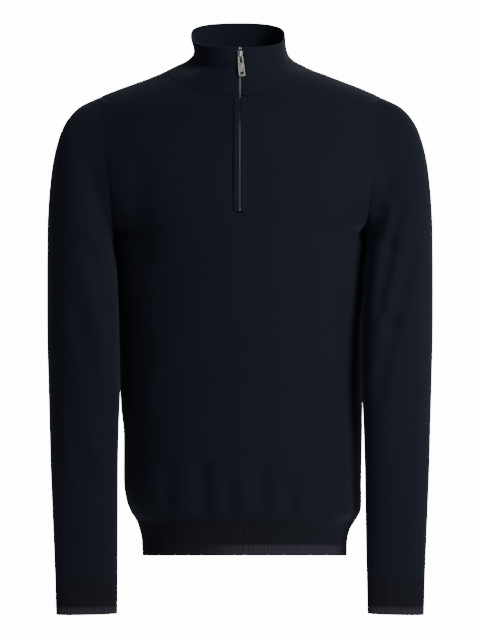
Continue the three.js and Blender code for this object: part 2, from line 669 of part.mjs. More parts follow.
// Slider and pull tab, in front of the collar
const SLIDER_HEIGHT = 14;
const SLIDER_HALF_WIDTH = 3.3;
const SLIDER_PLATE = 1.2;
const SLIDER_GAP = 0.4;
const SLIDER_LENGTH = 10;
const SLIDER_NOSE_SHARE = 0.6;
const BRIDGE_WIDTH = 1.6;
const BRIDGE_LENGTH = 8;
const BRIDGE_RISE = 3.6;
const BRIDGE_WALL = 1.0;
const BRIDGE_CORNER = 1.4;
const BRIDGE_ROOT = 0.3;
const TAB_LENGTH = 29;
const TAB_TOP_WIDTH = 7.2;
const TAB_BOTTOM_WIDTH = 8.8;
const TAB_THICKNESS = 1.3;
const TAB_BAR = 1.5;
const TAB_CORNER = 2;
const TAB_TOP_SHARE = 0.62;
const TAB_WINDOW_LENGTH = 8.6;
const TAB_WINDOW_WIDTH = 3.6;
const TAB_WINDOW_BOW = 1;
const TAB_SLOT_LENGTH = 2.6;
const TAB_SLOT_WIDTH = 4.4;
const TAB_SLOT_UP = 3.2;
const CURVE_SEGMENTS = 4;
const TAB_LEAN = THREE.MathUtils.degToRad(6);
const TAB_SWING_OUT = THREE.MathUtils.degToRad(4);

// Where the slider sits: on the middle line of the collar at its height, square to the line.
function collarLineAt(height) {
  for (let index = 0; index < wholePath.length - 1; index += 1) {
    const low = wholePath[index];
    const high = wholePath[index + 1];
    if (height >= low.y && height <= high.y) {
      const part = (height - low.y) / (high.y - low.y);
      return { y: lerp(low.x, high.x, part), run: high.clone().sub(low).normalize() };
    }
  }
  return null;
}

function toManifold(source) {
  const geometry = source.clone();
  for (const name of ["normal", "uv"]) geometry.deleteAttribute(name);
  const merged = mergeVertices(geometry, MERGE_DISTANCE);
  const vertProperties = Float32Array.from(merged.getAttribute("position").array);
  const triVerts = Uint32Array.from(merged.getIndex().array);
  return new wasm.Manifold(new wasm.Mesh({ numProp: 3, vertProperties, triVerts }));
}

function fromManifold(solid) {
  const mesh = solid.getMesh();
  const geometry = new THREE.BufferGeometry();
  geometry.setAttribute("position", new THREE.BufferAttribute(Float32Array.from(mesh.vertProperties), 3));
  geometry.setIndex(new THREE.BufferAttribute(Uint32Array.from(mesh.triVerts), 1));
  return geometry;
}

// An outline in x and z, extruded from the front towards the back and placed at a depth.
function plate(shape, thickness, front) {
  const options = { depth: thickness, bevelEnabled: false, curveSegments: CURVE_SEGMENTS };
  const geometry = new THREE.ExtrudeGeometry(shape, options);
  geometry.rotateX(Math.PI / 2);
  geometry.translate(0, front + thickness, 0);
  return geometry;
}

const seat = collarLineAt(SLIDER_HEIGHT);
const sliderTilt = Math.atan2(-seat.run.x, seat.run.y);

function sliderOutline() {
  const shape = new THREE.Shape();
  const half = SLIDER_LENGTH / 2;
  shape.moveTo(-SLIDER_HALF_WIDTH, half);
  shape.lineTo(SLIDER_HALF_WIDTH, half);
  shape.lineTo(SLIDER_HALF_WIDTH, 0);
  shape.lineTo(SLIDER_HALF_WIDTH * SLIDER_NOSE_SHARE, -half);
  shape.lineTo(-SLIDER_HALF_WIDTH * SLIDER_NOSE_SHARE, -half);
  shape.lineTo(-SLIDER_HALF_WIDTH, 0);
  shape.closePath();
  return shape;
}

// The bridge's side view: an arch on the plate, drawn as depth and height.
function bridge() {
  const shape = new THREE.Shape();
  const half = BRIDGE_LENGTH / 2;
  const corner = BRIDGE_CORNER;
  shape.moveTo(BRIDGE_ROOT, -half);
  shape.lineTo(BRIDGE_ROOT, half);
  shape.lineTo(-BRIDGE_RISE + corner, half);
  shape.quadraticCurveTo(-BRIDGE_RISE, half, -BRIDGE_RISE, half - corner);
  shape.lineTo(-BRIDGE_RISE, -half + corner);
  shape.quadraticCurveTo(-BRIDGE_RISE, -half, -BRIDGE_RISE + corner, -half);
  shape.closePath();
  const hole = new THREE.Path();
  hole.moveTo(0, -half + BRIDGE_WALL);
  hole.lineTo(-BRIDGE_RISE + BRIDGE_WALL, -half + BRIDGE_WALL);
  hole.lineTo(-BRIDGE_RISE + BRIDGE_WALL, half - BRIDGE_WALL);
  hole.lineTo(0, half - BRIDGE_WALL);
  hole.closePath();
  shape.holes.push(hole);
  const options = { depth: BRIDGE_WIDTH, bevelEnabled: false, curveSegments: CURVE_SEGMENTS };
  const geometry = new THREE.ExtrudeGeometry(shape, options);
  geometry.translate(0, 0, -BRIDGE_WIDTH / 2);
  geometry.applyMatrix4(new THREE.Matrix4().makeBasis(
    new THREE.Vector3(0, 1, 0), new THREE.Vector3(0, 0, 1), new THREE.Vector3(1, 0, 0)));
  return geometry;
}

function slider() {
  const base = toManifold(plate(sliderOutline(), SLIDER_PLATE, 0));
  return fromManifold(base.add(toManifold(bridge())));
}

function placeOnCollar(mesh, proud) {
  mesh.rotation.set(sliderTilt, 0, 0);
  mesh.position.set(0, seat.y - proud, SLIDER_HEIGHT);
}

const sliderProud = SLIDER_GAP + SLIDER_PLATE;
placeOnCollar(addPiece("zip_slider", slider(), STEEL, METAL_ROUGHNESS, METALNESS), sliderProud);

// The tab hangs from its own top bar, which lies in the bridge's hole. It is drawn around that
// bar's middle, which is the hinge, with the window below the bar and a slot near the end.
function pullTab() {
  const shape = new THREE.Shape();
  const top = TAB_BAR / 2;
  const bottom = top - TAB_LENGTH;
  const topHalf = TAB_TOP_WIDTH / 2;
  const bottomHalf = TAB_BOTTOM_WIDTH / 2;
  const round = TAB_CORNER;
  const narrow = TAB_TOP_SHARE;
  shape.moveTo(-topHalf * narrow, top);
  shape.lineTo(topHalf * narrow, top);
  shape.lineTo(topHalf, top - round);
  shape.lineTo(bottomHalf, bottom + round);
  shape.quadraticCurveTo(bottomHalf, bottom, bottomHalf - round, bottom);
  shape.lineTo(-bottomHalf + round, bottom);
  shape.quadraticCurveTo(-bottomHalf, bottom, -bottomHalf, bottom + round);
  shape.lineTo(-topHalf, top - round);
  shape.closePath();
  const window = new THREE.Path();
  const windowHalf = TAB_WINDOW_WIDTH / 2;
  window.moveTo(-windowHalf * narrow, -top);
  const windowEnd = -top - TAB_WINDOW_LENGTH + TAB_WINDOW_BOW;
  window.lineTo(-windowHalf, windowEnd);
  window.quadraticCurveTo(0, windowEnd - 2 * TAB_WINDOW_BOW, windowHalf, windowEnd);
  window.lineTo(windowHalf * narrow, -top);
  window.closePath();
  const slot = new THREE.Path();
  const slotHalf = TAB_SLOT_WIDTH / 2;
  slot.moveTo(-slotHalf, bottom + TAB_SLOT_UP);
  slot.lineTo(slotHalf, bottom + TAB_SLOT_UP);
  slot.lineTo(slotHalf, bottom + TAB_SLOT_UP + TAB_SLOT_LENGTH);
  slot.lineTo(-slotHalf, bottom + TAB_SLOT_UP + TAB_SLOT_LENGTH);
  slot.closePath();
  shape.holes.push(window, slot);
  return plate(shape, TAB_THICKNESS, -TAB_THICKNESS / 2);
}

// Hinge: the middle of the bridge's hole in depth, and as low in it as the bar can hang.
const hingeDepth = (BRIDGE_RISE - BRIDGE_WALL) / 2;
const hingeDrop = BRIDGE_LENGTH / 2 - BRIDGE_WALL - TAB_BAR / 2 - SEAM_GAP;
const hinge = new THREE.Vector3(0, -hingeDepth, -hingeDrop);
hinge.applyAxisAngle(new THREE.Vector3(1, 0, 0), sliderTilt);
hinge.add(new THREE.Vector3(0, seat.y - sliderProud, SLIDER_HEIGHT));
const tab = addPiece("pull_tab", pullTab(), STEEL, METAL_ROUGHNESS, METALNESS);
tab.rotation.set(-TAB_SWING_OUT, -TAB_LEAN, 0, "YXZ");
tab.position.copy(hinge);

export default garment;
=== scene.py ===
import math

import bpy
import bmesh
import numpy as np
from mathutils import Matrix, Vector


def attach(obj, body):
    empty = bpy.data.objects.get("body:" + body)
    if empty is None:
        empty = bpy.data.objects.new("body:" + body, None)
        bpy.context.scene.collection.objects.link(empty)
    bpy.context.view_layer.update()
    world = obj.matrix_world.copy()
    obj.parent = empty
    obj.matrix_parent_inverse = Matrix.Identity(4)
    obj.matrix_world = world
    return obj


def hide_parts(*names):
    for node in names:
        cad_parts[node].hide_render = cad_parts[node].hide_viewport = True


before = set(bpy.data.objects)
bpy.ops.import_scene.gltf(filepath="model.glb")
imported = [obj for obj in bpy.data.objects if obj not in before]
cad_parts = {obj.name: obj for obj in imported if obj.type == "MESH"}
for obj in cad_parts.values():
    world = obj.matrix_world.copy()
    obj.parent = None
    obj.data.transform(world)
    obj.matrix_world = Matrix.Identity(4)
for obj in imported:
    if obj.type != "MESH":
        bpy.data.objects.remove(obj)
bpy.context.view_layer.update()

# Driving sizes in metres. The origin lies between the neck points, and the front faces -Y.
MM = 0.001
CLOTH = 1.5 * MM
RIB_CLOTH = 1.9 * MM
COLLAR_CLOTH = 2.8 * MM
SEAM_GAP = 0.3 * MM
NECK_ROUNDNESS = 2.3
SLEEVE_ROUNDNESS = 2.2
BODY_BOTTOM = -612 * MM
HEM_BOTTOM = -660 * MM
ARMPIT_HEIGHT = -225 * MM
ARMPIT_REACH = 168 * MM
SHOULDER_HEIGHT = -37 * MM
SHOULDER_REACH = 190 * MM
NECK_DIP_FRONT = 42 * MM
NECK_DIP_BACK = -4 * MM
NECK_DIP_SHARPNESS = 1.2
SEAM_SHARPNESS = 8
MERGE_DISTANCE = 0.01 * MM
EDGE_START = 0.12
CLOTH_SHARP_ANGLE = math.radians(50)
METAL_SHARP_ANGLE = math.radians(40)
HEM_RAISE_FRONT = 8 * MM
HEM_RAISE_BACK = 12 * MM
HEM_RAISE_START = -480 * MM
FOLD_FADE = 16 * MM
CUFF_RIB_HEIGHT = 50 * MM
RIB_PITCH = 3.9 * MM
RIB_RAISE = 0.55 * MM
ZIP_BOTTOM_HEIGHT = -196 * MM
ZIP_SLOT_HALF = 1.9 * MM
# Above the teeth that show, the cloth's edges nearly meet over the chain
ZIP_CLOSED_HALF = 0.3 * MM
COLLAR_GAP_OPENS = (-14 * MM, -5 * MM)
BANDS_OPEN_BELOW_NECK = (22 * MM, 50 * MM)
# Waves of loosely held cloth: share of its size, rate across and up in radians a metre, and start
UNEVEN_WAVES = ((1.0, 31, 17, 0.7), (1.0, -23, 29, 2.1), (0.6, 57, -41, 4.0), (0.5, 19, 71, 1.3))
BODY_UNEVENNESS = 1.0 * MM
SLEEVE_UNEVENNESS = 0.8 * MM
UNEVEN_FROM_HEIGHT = -50 * MM
WALE_PITCH = 1.5 * MM
COURSE_PITCH = 1.15 * MM

# Torso sections from the neck down, in millimetres: height at the side seam, sideways shift,
# half width, depth in front of the seams and behind them, and how square the section is.
TORSO_COLUMNS = ("height", "shift", "half", "front", "back", "roundness")
TORSO_ROWS = (
    (0, 0, 98, 88, 62, 2.3),
    (-6, 2.2, 113, 91, 69, 2.2),
    (-12, 2.4, 128, 94, 76, 2.1),
    (-19, 2, 147, 97, 83, 1.98),
    (-27, 1, 168, 100, 89, 1.86),
    (-37, 0, 190, 104, 95, 1.76),
    (-50, 0, 203, 108, 101, 1.73),
    (-62, 0, 212, 111.5, 105, 1.75),
    (-80, 0, 222, 116.5, 110, 1.8),
    (-110, 0, 232, 124, 117, 1.92),
    (-150, 0, 228, 131, 123, 2.1),
    (-190, 0, 205, 134, 125, 2.22),
    (-210, 0, 186, 134.7, 125, 2.27),
    (-225, 0, 168, 135, 125, 2.3),
    (-234, 0, 170.8, 135, 125, 2.3),
    (-270, 0, 170, 134, 124, 2.3),
    (-345, 0.5, 166, 131, 121, 2.3),
    (-400, 1.2, 165, 128, 119, 2.3),
    (-455, 2.2, 164, 126, 118, 2.3),
    (-495, 4, 162, 125, 118, 2.3),
    (-560, 3.5, 161.3, 125, 118, 2.3),
    (-586, 5.5, 159.5, 125, 118, 2.3),
    (-600, 7.5, 156, 122, 116, 2.3),
    (-612, 8, 149, 114, 109, 2.3),
    (-626, 6.3, 142.5, 109, 105, 2.3),
    (-642, 6.1, 139.5, 107, 104, 2.3),
    (-660, 6.3, 139, 107, 104, 2.3),
)

# Sleeve rings from the armhole down, in millimetres: reach and height of the outer point, reach
# of the inner point on the +X and the -X sleeve, its height, middle in depth, half the depth, and
# how far the inner side lies ahead of the middle.
SLEEVE_COLUMNS = (
    "outer", "outer_height", "inner_right", "inner_left", "inner_height", "middle", "depth", "lean",
)
SLEEVE_ROWS = (
    (190, -37, 168, 168, -225, 0, 70, 0),
    (204, -43, 168.6, 168.6, -231, -1, 72, -6),
    (217, -50, 168.7, 168.7, -237, -2, 73, -12),
    (228, -60, 168.5, 168.5, -243, -3, 73, -18),
    (238.8, -76, 167.9, 167.9, -250, -5, 72.5, -24),
    (247, -98, 166.6, 166.6, -258, -8, 71.5, -28),
    (253.4, -127, 165.4, 165.4, -268, -12, 70, -30),
    (257.4, -162, 164.9, 164.4, -281, -17, 68, -31),
    (259.8, -204, 164.5, 163.4, -300, -23, 65, -31),
    (260.2, -252, 163.8, 162.4, -326, -30, 62, -31),
    (260, -306, 163.2, 161.4, -358, -36, 59, -30),
    (259.4, -362, 162.6, 160.6, -396, -41, 55, -28),
    (257.8, -420, 163.2, 160.2, -438, -45, 51, -23),
    (256, -480, 165.4, 162.2, -486, -48, 47, -17),
    (254.2, -540, 167, 163.2, -540, -51, 42, -12),
    (251.6, -600, 168, 163.4, -598, -54, 36, -8),
    (249.4, -650, 168.8, 163.6, -648, -56, 29, -5),
    (248, -685, 169.6, 163.8, -683, -57, 23, -4),
)
CUFF_END = {"outer": 0.2466, "inner_right": 0.1706, "inner_left": 0.1642, "middle": -0.059, "depth": 0.016}

# Collar rings from the neck seam up, in millimetres: sideways shift, half width, height at the
# side, depth and height at the front and the back, and how soon the height turns to theirs.
COLLAR_COLUMNS = ("shift", "half", "side", "front", "front_height", "back", "back_height", "flare")
COLLAR_ROWS = (
    (0, 98, 0, 88, -42, 62, 4, 1.2),
    (0, 86, 6, 86.5, -31, 58, 12.5, 1.15),
    (0.5, 74, 12, 84, -20, 55, 22, 1.05),
    (1, 66, 19, 81.5, -9, 53, 32.5, 0.95),
    (0.5, 63.4, 26, 81.5, 1, 52, 43, 0.85),
    (-1, 63.2, 36, 80.5, 12, 51, 55.5, 0.75),
    (-3, 64.4, 47, 79, 24, 50, 69, 0.65),
)

# Folds, in millimetres: start and end across and in height, depth, half width.
FRONT_FOLDS = (
    (-98, -545, -92, -606, 4.0, 13),
    (-86, -565, -80, -600, -1.5, 8),
    (-50, -535, -48, -612, 6.0, 12),
    (-16, -556, -14, -606, 4.0, 11),
    (28, -540, 30, -606, 4.0, 13),
    (66, -560, 64, -606, 3.0, 12),
    (118, -575, 114, -612, 4.0, 12),
    (125, -308, 150, -470, 3.0, 13),
    (108, -405, 132, -450, 1.6, 12),
    (-132, -378, -146, -455, 3.0, 12),
    (-136, -140, -134, -250, 4.0, 20),
    (142, -150, 138, -250, 3.0, 18),
    (-138, -190, -140, -420, 2.0, 18),
    (62, -566, 68, -588, 1.5, 8),
    (134, -595, 140, -612, 2.5, 9),
)
BACK_FOLDS = (
    (-104, -530, -98, -606, 4.0, 15),
    (-46, -548, -44, -610, 5.0, 14),
    (12, -530, 10, -606, 4.0, 15),
    (62, -552, 66, -610, 5.0, 14),
    (120, -540, 112, -606, 3.0, 14),
    (-130, -150, -120, -330, 4.0, 22),
    (132, -160, 120, -350, 4.0, 22),
)
RIGHT_SLEEVE_FOLDS = (
    (189, -196, 179, -227, 5.0, 9),
    (214, -186, 200, -242, 4.0, 9),
    (200, -242, 184, -325, 6.0, 9),
    (227, -258, 202, -347, 5.0, 11),
    (202, -347, 184, -434, 4.0, 10),
    (186, -136, 200, -172, 1.6, 7),
    (232, -420, 206, -500, 1.6, 13),
)
LEFT_SLEEVE_FOLDS = (
    (-192, -140, -178, -205, 5.0, 14),
    (-196, -250, -178, -330, 4.0, 11),
    (-214, -330, -192, -420, 3.0, 13),
    (-228, -105, -232, -116, 1.2, 9),
    (-226, -470, -200, -560, 1.6, 13),
)
SLEEVE_BACK_FOLDS = (
    (188, -190, 214, -300, 4.0, 12),
    (214, -340, 186, -410, 5.0, 12),
    (232, -390, 200, -450, 3.0, 12),
)
COLLAR_FOLDS = (
    (-74, -2, -22, 1, 2.0, 5),
    (40, 2, 84, 2, 2.0, 5),
)


PLAIN_COLUMNS = ("roundness", "flare")


def table_of(rows, names):
    """One named column for each column of a table. Lengths turn from millimetres to metres."""
    values = np.array(rows, dtype=float)
    return {name: values[:, index] * (1 if name in PLAIN_COLUMNS else MM) for index, name in enumerate(names)}


TORSO = table_of(TORSO_ROWS, TORSO_COLUMNS)
SLEEVE = table_of(SLEEVE_ROWS, SLEEVE_COLUMNS)
COLLAR = table_of(COLLAR_ROWS, COLLAR_COLUMNS)


def put_in_scene(name, data):
    piece = bpy.data.objects.new(name, data)
    bpy.context.scene.collection.objects.link(piece)
    return piece


def shade(mesh, sharp_angle):
    mesh.shade_smooth()
    mesh.set_sharp_from_angle(angle=sharp_angle)


def unit(vectors):
    return vectors / np.linalg.norm(vectors, axis=-1, keepdims=True)


def squared_off(wave, power):
    """A sine or cosine drawn towards a squarer shape, for sections that aren't quite round."""
    return np.sign(wave) * np.abs(wave) ** power


def smooth(start, end, value):
    part = np.clip((value - start) / (end - start), 0, 1)
    return part * part * (3 - 2 * part)


def curve_through(places, values, at, steady=False):
    """A smooth curve through the values, read at some places. A steady one never overshoots."""
    steps = np.diff(places)
    rises = np.diff(values) / steps
    slopes = np.concatenate([rises[:1], rises[:1], rises[1:]])
    if steady:
        product = np.maximum(0, rises[:-1] * rises[1:])
        slopes[1:-1] = 2 * product / np.where(product > 0, rises[:-1] + rises[1:], 1)
    else:
        slopes[1:-1] = (steps[1:] * rises[:-1] + steps[:-1] * rises[1:]) / (steps[1:] + steps[:-1])
    index = np.clip(np.searchsorted(places, at, side="right") - 1, 0, len(steps) - 1)
    step = steps[index]
    part = (at - places[index]) / step
    square = part * part
    cube = square * part
    ends = (2 * cube - 3 * square + 1) * values[index] + (3 * square - 2 * cube) * values[index + 1]
    bends = (cube - 2 * square + part) * slopes[index] + (cube - square) * slopes[index + 1]
    return ends + bends * step


def ring_values(column, positions):
    """A table's column at positions that count its rows, one for each ring."""
    return curve_through(np.arange(len(column), dtype=float), column, positions)[:, None]


def torso_section(column, height):
    return curve_through(-TORSO["height"], TORSO[column], -height, steady=True)


def fold_depth(folds, x, z):
    """Depth of soft troughs that fade at both ends."""
    depth = np.zeros_like(x)
    for x1, z1, x2, z2, deep, wide in folds:
        run_x = (x2 - x1) * MM
        run_z = (z2 - z1) * MM
        length = math.hypot(run_x, run_z)
        run = ((x - x1 * MM) * run_x + (z - z1 * MM) * run_z) / length
        aside = ((x - x1 * MM) * run_z - (z - z1 * MM) * run_x) / length
        over = np.maximum(0, np.maximum(-run, run - length))
        spread = wide * MM
        depth += deep * MM * np.exp(-((aside / spread) ** 2) - (over / spread) ** 2)
    return depth


def armhole_reach(height):
    part = (height - ARMPIT_HEIGHT) / (SHOULDER_HEIGHT - ARMPIT_HEIGHT)
    return ARMPIT_REACH + (SHOULDER_REACH - ARMPIT_REACH) * part


def soft_unevenness(x, z, size):
    """Gentle, uneven swelling of loosely held cloth."""
    waves = sum(share * np.sin(across * x + up * z + start) for share, across, up, start in UNEVEN_WAVES)
    return size * waves / 3


def torso_point(side, across, height, folds):
    """A point of the torso. Side is -1 in front and +1 behind, across runs from -1 to +1."""
    half = torso_section("half", height)
    power = 2 / torso_section("roundness", height)
    between = (height > ARMPIT_HEIGHT) & (height < SHOULDER_HEIGHT)
    widest = np.where(between, np.minimum(1, armhole_reach(height) / half), 1)
    seam_angle = np.arcsin(widest ** (1 / power))
    angle = np.abs(across) * seam_angle
    reach = half * np.sin(angle) ** power
    deepest = torso_section("front" if side < 0 else "back", height)
    depth = deepest * np.maximum(0, np.cos(angle)) ** power
    shift = torso_section("shift", height) * np.where(height > ARMPIT_HEIGHT, np.abs(across), 1)
    x = shift + np.sign(across) * reach
    facing = np.maximum(0, np.cos(angle) - np.cos(seam_angle) * np.abs(across) ** SEAM_SHARPNESS)
    dip = NECK_DIP_FRONT if side < 0 else NECK_DIP_BACK
    lift = HEM_RAISE_FRONT if side < 0 else HEM_RAISE_BACK
    near_neck = np.maximum(0, (height - ARMPIT_HEIGHT) / -ARMPIT_HEIGHT) ** 2
    near_hem = smooth(HEM_RAISE_START, HEM_BOTTOM, height)
    z = height - dip * near_neck * facing ** NECK_DIP_SHARPNESS + lift * near_hem * facing
    moved = np.zeros_like(x)
    if folds:
        ends = smooth(0, UNEVEN_FROM_HEIGHT, height)
        ends *= smooth(BODY_BOTTOM, BODY_BOTTOM + 2 * FOLD_FADE, height)
        moved = fold_depth(folds, x, z) * smooth(BODY_BOTTOM, BODY_BOTTOM + FOLD_FADE, height)
        moved = (moved - soft_unevenness(x, z, BODY_UNEVENNESS) * ends) * np.sqrt(facing)
    return np.stack([x, side * np.maximum(0, depth - moved), z], axis=-1)


def grid_normals(grid, closed, outward):
    if closed:
        across = np.roll(grid, -1, axis=1) - np.roll(grid, 1, axis=1)
    else:
        across = np.gradient(grid, axis=1)
    down = np.gradient(grid, axis=0)
    normals = np.cross(across, down) * outward
    return normals / np.maximum(1e-12, np.linalg.norm(normals, axis=2, keepdims=True))


def arc_lengths(grid, axis):
    steps = np.linalg.norm(np.diff(grid, axis=axis), axis=2)
    start_shape = list(steps.shape)
    start_shape[axis] = 1
    return np.concatenate([np.zeros(start_shape), np.cumsum(steps, axis=axis)], axis=axis)


def flat_map(grid, closed):
    """Width across and length down of each point, in metres, as cloth laid flat."""
    ring = np.concatenate([grid, grid[:, :1]], axis=1) if closed else grid
    across = arc_lengths(ring, 1)
    across -= across[:, -1:] / 2
    return np.stack([across, -arc_lengths(ring, 0)], axis=-1)


def edge_fullness(edge_distance, thickness):
    """How full a wall with a round free edge is, at each point's distance from that edge."""
    way = np.clip(edge_distance / (thickness / 2), 0, 1)
    return np.maximum(EDGE_START, np.sqrt(1 - (1 - way) ** 2))[..., None]


def cell_corners(flat, row, column):
    return [flat[row, column], flat[row, column + 1], flat[row + 1, column + 1], flat[row + 1, column]]


def towards_edge(start, end, count, reach, steps=5):
    """Places from start to end, with a few more close to the end for its rounded edge."""
    plain = np.linspace(start, end - math.copysign(reach, end - start), count)
    turn = np.linspace(0, math.pi / 2, steps + 1)[1:]
    return np.concatenate([plain, end - math.copysign(reach, end - start) * (1 - np.sin(turn))])


def wall_mesh(name, outer, inner, closed=False, keep=None):
    """A closed wall between two grids of points, with the cloth's flat sizes as its UV map."""
    rows, columns = outer.shape[:2]
    cells = columns if closed else columns - 1
    kept = np.ones((rows - 1, cells), dtype=bool) if keep is None else keep
    points = np.concatenate([outer.reshape(-1, 3), inner.reshape(-1, 3)])
    flat = flat_map(outer, closed)
    count = rows * columns
    faces = []
    maps = []

    def has(row, column):
        if row < 0 or row >= rows - 1:
            return False
        if closed:
            return kept[row, column % cells]
        return 0 <= column < cells and kept[row, column]

    for row in range(rows - 1):
        for column in range(cells):
            if not kept[row, column]:
                continue
            after = (column + 1) % columns
            a, b = row * columns + column, row * columns + after
            d, c = a + columns, b + columns
            corners = cell_corners(flat, row, column)
            faces.append((a, b, c, d))
            maps.extend(corners)
            faces.append((a + count, d + count, c + count, b + count))
            maps.extend([corners[0], corners[3], corners[2], corners[1]])
            edges = (
                (row - 1, column, a, b, 0, 1), (row, column + 1, b, c, 1, 2),
                (row + 1, column, c, d, 2, 3), (row, column - 1, d, a, 3, 0),
            )
            for next_row, next_column, start, end, first, second in edges:
                if not has(next_row, next_column):
                    faces.append((end, start, start + count, end + count))
                    maps.extend([corners[second], corners[first], corners[first], corners[second]])
    return mesh_object(name, points, faces, maps)


def mesh_object(name, points, faces, maps=None):
    mesh = bpy.data.meshes.new(name)
    mesh.from_pydata([tuple(point) for point in points], [], faces)
    if maps is not None:
        layer = mesh.uv_layers.new(name="flat_cloth")
        layer.data.foreach_set("uv", np.array(maps, dtype=np.float32).ravel())
    turn_out(mesh)
    mesh.update()
    shade(mesh, CLOTH_SHARP_ANGLE)
    return put_in_scene(name, mesh)


def turn_out(mesh):
    """Turns the faces of a closed mesh outwards where its volume is negative."""
    mesh.calc_loop_triangles()
    volume = 0.0
    for triangle in mesh.loop_triangles:
        first, second, third = (mesh.vertices[index].co for index in triangle.vertices)
        volume += first.dot(second.cross(third))
    if volume < 0:
        mesh.flip_normals()


def level_ends(normals, grid, closed, outward, rows):
    """Level normals for a row that meets another piece."""
    for row in rows:
        line = grid[row]
        run = np.roll(line, -1, axis=0) - np.roll(line, 1, axis=0) if closed else np.gradient(line, axis=0)
        normals[row] = unit(np.stack([run[:, 1], -run[:, 0], np.zeros(len(run))], axis=-1) * outward)


def face_front(normals, columns):
    """Takes the sideways part out of the normals beside the zip."""
    for column in columns:
        normals[:, column, 0] = 0
        normals[:, column] = unit(normals[:, column])


# Materials

class Finish:
    """A material whose textures read the object's own coordinates or its flat cloth map."""

    def __init__(self, name, values):
        self.material = bpy.data.materials.new(name)
        self.material.use_nodes = True
        self.tree = self.material.node_tree
        self.shader = next(node for node in self.tree.nodes if node.type == "BSDF_PRINCIPLED")
        coordinates = self.add("TexCoord")
        self.place, self.flat = coordinates.outputs["Object"], coordinates.outputs["UV"]
        for socket, value in values.items():
            self.feed(self.shader.inputs[socket], value)

    def feed(self, socket, value):
        """Links a node's output to the socket, or sets a plain value on it."""
        if isinstance(value, bpy.types.NodeSocket):
            self.tree.links.new(value, socket)
        else:
            socket.default_value = value

    def add(self, kind, **values):
        node = self.tree.nodes.new("ShaderNode" + kind)
        for socket, value in values.items():
            self.feed(node.inputs[socket], value)
        return node

    def math(self, operation, *values):
        node = self.add("Math")
        node.operation = operation
        for socket, value in zip(node.inputs, values):
            self.feed(socket, value)
        return node.outputs[0]

    def noise(self, scale, detail=2.0, vector=None):
        place = self.place if vector is None else vector
        return self.add("TexNoise", Vector=place, Scale=scale, Detail=detail).outputs["Fac"]

    def mixed(self, factor, *colours):
        node = self.add("Mix")
        node.data_type = "RGBA"
        self.feed(node.inputs["Factor"], factor)
        for socket, colour in zip(node.inputs[6:8], colours):
            self.feed(socket, (*colour, 1) if isinstance(colour, tuple) else colour)
        return node.outputs[2]

    def paint(self, colour):
        self.feed(self.shader.inputs["Base Color"], colour)

    def roughen(self, height, strength, distance):
        relief = self.add("Bump", Height=height, Strength=strength, Distance=distance)
        self.feed(self.shader.inputs["Normal"], relief.outputs["Normal"])


def knit_finish(name, colour, light_colour, painted_lit_strip=None):
    """Fine plain knit: columns of V-shaped stitches, fuzz and a soft sheen, and a painted strip of backlight
    where a colour for it is given.
    """
    knit = Finish(name, {
        "Roughness": 0.85, "Specular IOR Level": 0.2, "Sheen Weight": 0.12, "Sheen Roughness": 0.45,
        "Sheen Tint": (0.55, 0.62, 0.9, 1),
    })
    parts = knit.add("SeparateXYZ", Vector=knit.flat).outputs
    leg = knit.math("PINGPONG", knit.math("DIVIDE", parts["X"], WALE_PITCH), 0.5)
    slanted = knit.math("MULTIPLY_ADD", leg, 1.6, knit.math("DIVIDE", parts["Y"], COURSE_PITCH))
    loops = knit.math("SINE", knit.math("MULTIPLY", slanted, 2 * math.pi))
    valley = knit.math("SINE", knit.math("MULTIPLY", leg, 2 * math.pi))
    stitch = knit.math("MULTIPLY_ADD", loops, 0.25, knit.math("MULTIPLY", valley, 0.6))
    fuzz = knit.noise(scale=2200.0, detail=3.0)
    knit.roughen(knit.math("MULTIPLY_ADD", fuzz, 0.9, stitch), strength=0.55, distance=0.25 * MM)
    cloudy = knit.noise(scale=9.0, detail=3.0)
    blend = knit.math("MULTIPLY_ADD", cloudy, 0.5, knit.math("MULTIPLY", fuzz, 0.5))
    finish = knit.mixed(blend, colour, light_colour)
    # Painted backlight: a pale colour laid over the knit where the lit share asks for it
    if painted_lit_strip:
        finish = knit.mixed(lit_share(knit), finish, painted_lit_strip)
    knit.paint(finish)
    return knit.material


def lit_share(knit):
    """How much of the painted backlight, standing for daylight through the single layer, covers the lowest
    rows of a rib band.
    """
    layer = knit.add("Attribute")
    layer.attribute_name = "painted_backlight_share"
    grain = knit.math("MULTIPLY_ADD", knit.noise(scale=420.0), 1.1, 0.35)
    return knit.math("MINIMUM", knit.math("MULTIPLY", layer.outputs["Fac"], grain), 1.0)


def metal_finish(name, colour, roughness):
    """Satin nickel with fine brushing and slight wear."""
    metal = Finish(name, {"Metallic": 0.95})
    stretch = metal.add("Mapping", Vector=metal.place, Scale=(1.0, 1.0, 0.12))
    brushing = metal.noise(5200.0, 4.0, stretch.outputs["Vector"])
    worn = tuple(0.72 * channel for channel in colour)
    metal.paint(metal.mixed(metal.noise(scale=420.0, detail=3.0), worn, colour))
    metal.feed(metal.shader.inputs["Roughness"], metal.math("MULTIPLY_ADD", brushing, 0.18, roughness))
    metal.roughen(brushing, strength=0.25, distance=0.05 * MM)
    return metal.material


def matt_finish(name, pattern_kind, scale, dark, light, roughness, relief=None):
    """Two close colours in a fine pattern: twist of a thread, weave of a tape, grain of the floor."""
    matt = Finish(name, {"Roughness": roughness})
    pattern = matt.add(pattern_kind, Vector=matt.place, Scale=scale).outputs["Fac"]
    matt.paint(matt.mixed(pattern, dark, light))
    if relief:
        matt.roughen(pattern, relief, distance=0.1 * MM)
    return matt.material


